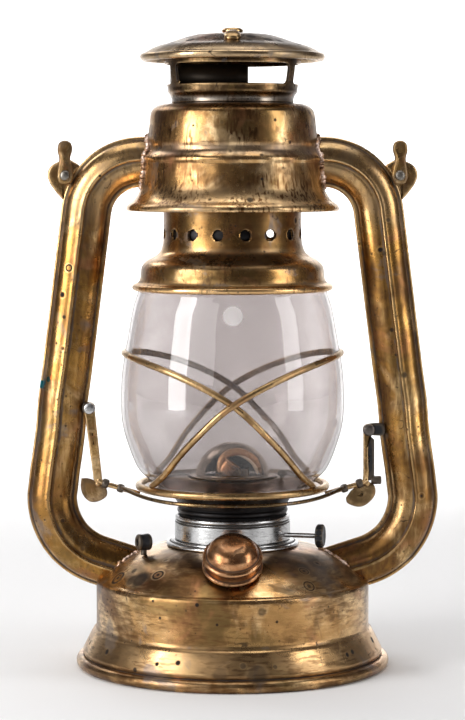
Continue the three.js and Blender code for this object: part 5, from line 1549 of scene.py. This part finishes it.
# Breather: a short hollow barrel on a stem, turned to the left of the filler
breather = {
    "sides": 64, "step": 0.3, "place": (43.5, 0, 64), "heading": math.radians(200),
    "profile": {
        "bore": [(1.9, 2.4), (1.9, 7.0)],
        "barrel": [(3.3, 7.05), (3.85, 6.6), (3.9, 4.0), (3.8, 0.4), (3.4, 0.02)],
        "back": [(0.02, 0.02)],
    },
    "stem": ((3.5, 0, -6.4), (3.5, 0, -1.0)), "stemRadius": 1.5, "stemStep": 0.8,
}
barrelProfile = runs(breather["step"], *breather["profile"].values())[::-1]
barrelPoints, barrelFaces = revolved(barrelProfile, breather["sides"])
stemGrid = rod(straight(breather["stem"], breather["stemStep"]), breather["stemRadius"], 16, side=(1, 0, 0))
breatherPoints, breatherFaces = merged((alongX(barrelPoints), barrelFaces), stemGrid)
breatherPoints = turnedAbout(breatherPoints + np.array(breather["place"]), (0, 0, 1), breather["heading"])
addPiece("breather_stub", breatherPoints, breatherFaces, "frame", "black_metal", blackSmall, ("breather",))
print("small pieces made")

# The plain CAD nodes that stay
keptLooks = {
    "fount_bottom": brassFount, "filler_neck": brassSmall, "filler_gasket": rubberBlack,
    "burner_deck": steelDark, "burner_base": steelSmall, "wick_tube": brassSmall,
    "wick_spindle": steelSmall,
}
for name, material in keptLooks.items():
    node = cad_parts[name]
    node.data.materials.clear()
    node.data.materials.append(material)

# Floor that curves up behind, in millimetres from front to back
floor = {
    "halfWide": 2000, "columns": 25, "step": 60.0,
    "flat": [(-1500, 0), (900, 0)], "bend": [(1300, 50), (1550, 300), (1620, 700)], "wall": [(1620, 1100)],
}
sweepLine = runs(floor["step"], floor["flat"], floor["bend"], floor["wall"])
floorX, floorY = np.meshgrid(
    np.linspace(-floor["halfWide"], floor["halfWide"], floor["columns"]), sweepLine[:, 0]
)
floorZ = np.repeat(sweepLine[:, 1:], floor["columns"], 1)
floorPoints = np.stack([floorX, floorY, floorZ], 2).reshape(-1, 3) * milli
floorFaces = gridFaces(len(sweepLine), floor["columns"], False, False)
floorMesh = bpy.data.meshes.new("studio_floor")
floorMesh.from_pydata(floorPoints.tolist(), [], floorFaces.tolist())
floorMesh.polygons.foreach_set("use_smooth", np.ones(len(floorMesh.polygons), bool))
floorMesh.materials.append(paleFloor("floorLook"))
floorPiece = bpy.data.objects.new("studio_floor", floorMesh)
bpy.context.scene.collection.objects.link(floorPiece)

# Soft lights, in metres and watts
lights = {
    "keyLight": {"place": (-1.145, -0.715, 0.5), "aim": (0, 0, 0.17), "size": (0.5, 1.15), "power": 15},
    "glowLight": {"place": (-0.95, -1.35, 0.75), "aim": (0, 0, 0.17), "size": (1.0, 1.0), "power": 5},
    "fillLight": {"place": (1.16, -0.5, 0.5), "aim": (0, 0, 0.17), "size": (0.45, 1.05), "power": 5.5},
    "topLight": {"place": (0.0, 0.15, 1.7), "aim": (0, 0.05, 0.1), "size": (1.5, 1.4), "power": 15},
    "backLight": {"place": (-0.75, 0.85, 1.05), "aim": (0, 0, 0.1), "size": (0.55, 0.5), "power": 3.5},
    "wallLight": {
        "place": (0.0, 0.75, 1.9), "aim": (0, 1.6, 0.2), "size": (0.9, 0.4), "power": 9.5,
        "spread": math.radians(70),
    },
}
for name, look in lights.items():
    light = bpy.data.lights.new(name, "AREA")
    light.shape = "RECTANGLE"
    light.size, light.size_y = look["size"]
    light.energy = look["power"]
    light.spread = look.get("spread", math.pi)
    lamp = bpy.data.objects.new(name, light)
    bpy.context.scene.collection.objects.link(lamp)
    way = np.array(look["aim"]) - np.array(look["place"])
    lift = math.atan2(way[2], math.hypot(way[0], way[1]))
    lamp.location = look["place"]
    lamp.rotation_euler = (math.pi / 2 + lift, 0, math.atan2(way[1], way[0]) - math.pi / 2)

# Faint light from all round
air = {"colour": (0.09, 0.08, 0.082, 1), "strength": 1.0}
world = bpy.data.worlds.new("studio")
bpy.context.scene.world = world
world.use_nodes = True
world.node_tree.nodes["Background"].inputs[0].default_value = air["colour"]
world.node_tree.nodes["Background"].inputs[1].default_value = air["strength"]
bpy.context.scene.view_settings.view_transform = "Standard"

# Camera at the photograph's angle, in metres
view = {
    "lens": 126.6, "sensor": 36, "far": 50, "place": (0, -1.266, 0.2502), "tilt": math.radians(90 - 4.359),
}
camera = bpy.data.cameras.new("photoCamera")
camera.lens, camera.sensor_width, camera.clip_end = view["lens"], view["sensor"], view["far"]
cameraPiece = bpy.data.objects.new("photoCamera", camera)
bpy.context.scene.collection.objects.link(cameraPiece)
cameraPiece.location = view["place"]
cameraPiece.rotation_euler = (view["tilt"], 0, 0)
bpy.context.scene.camera = cameraPiece
print("studio made")
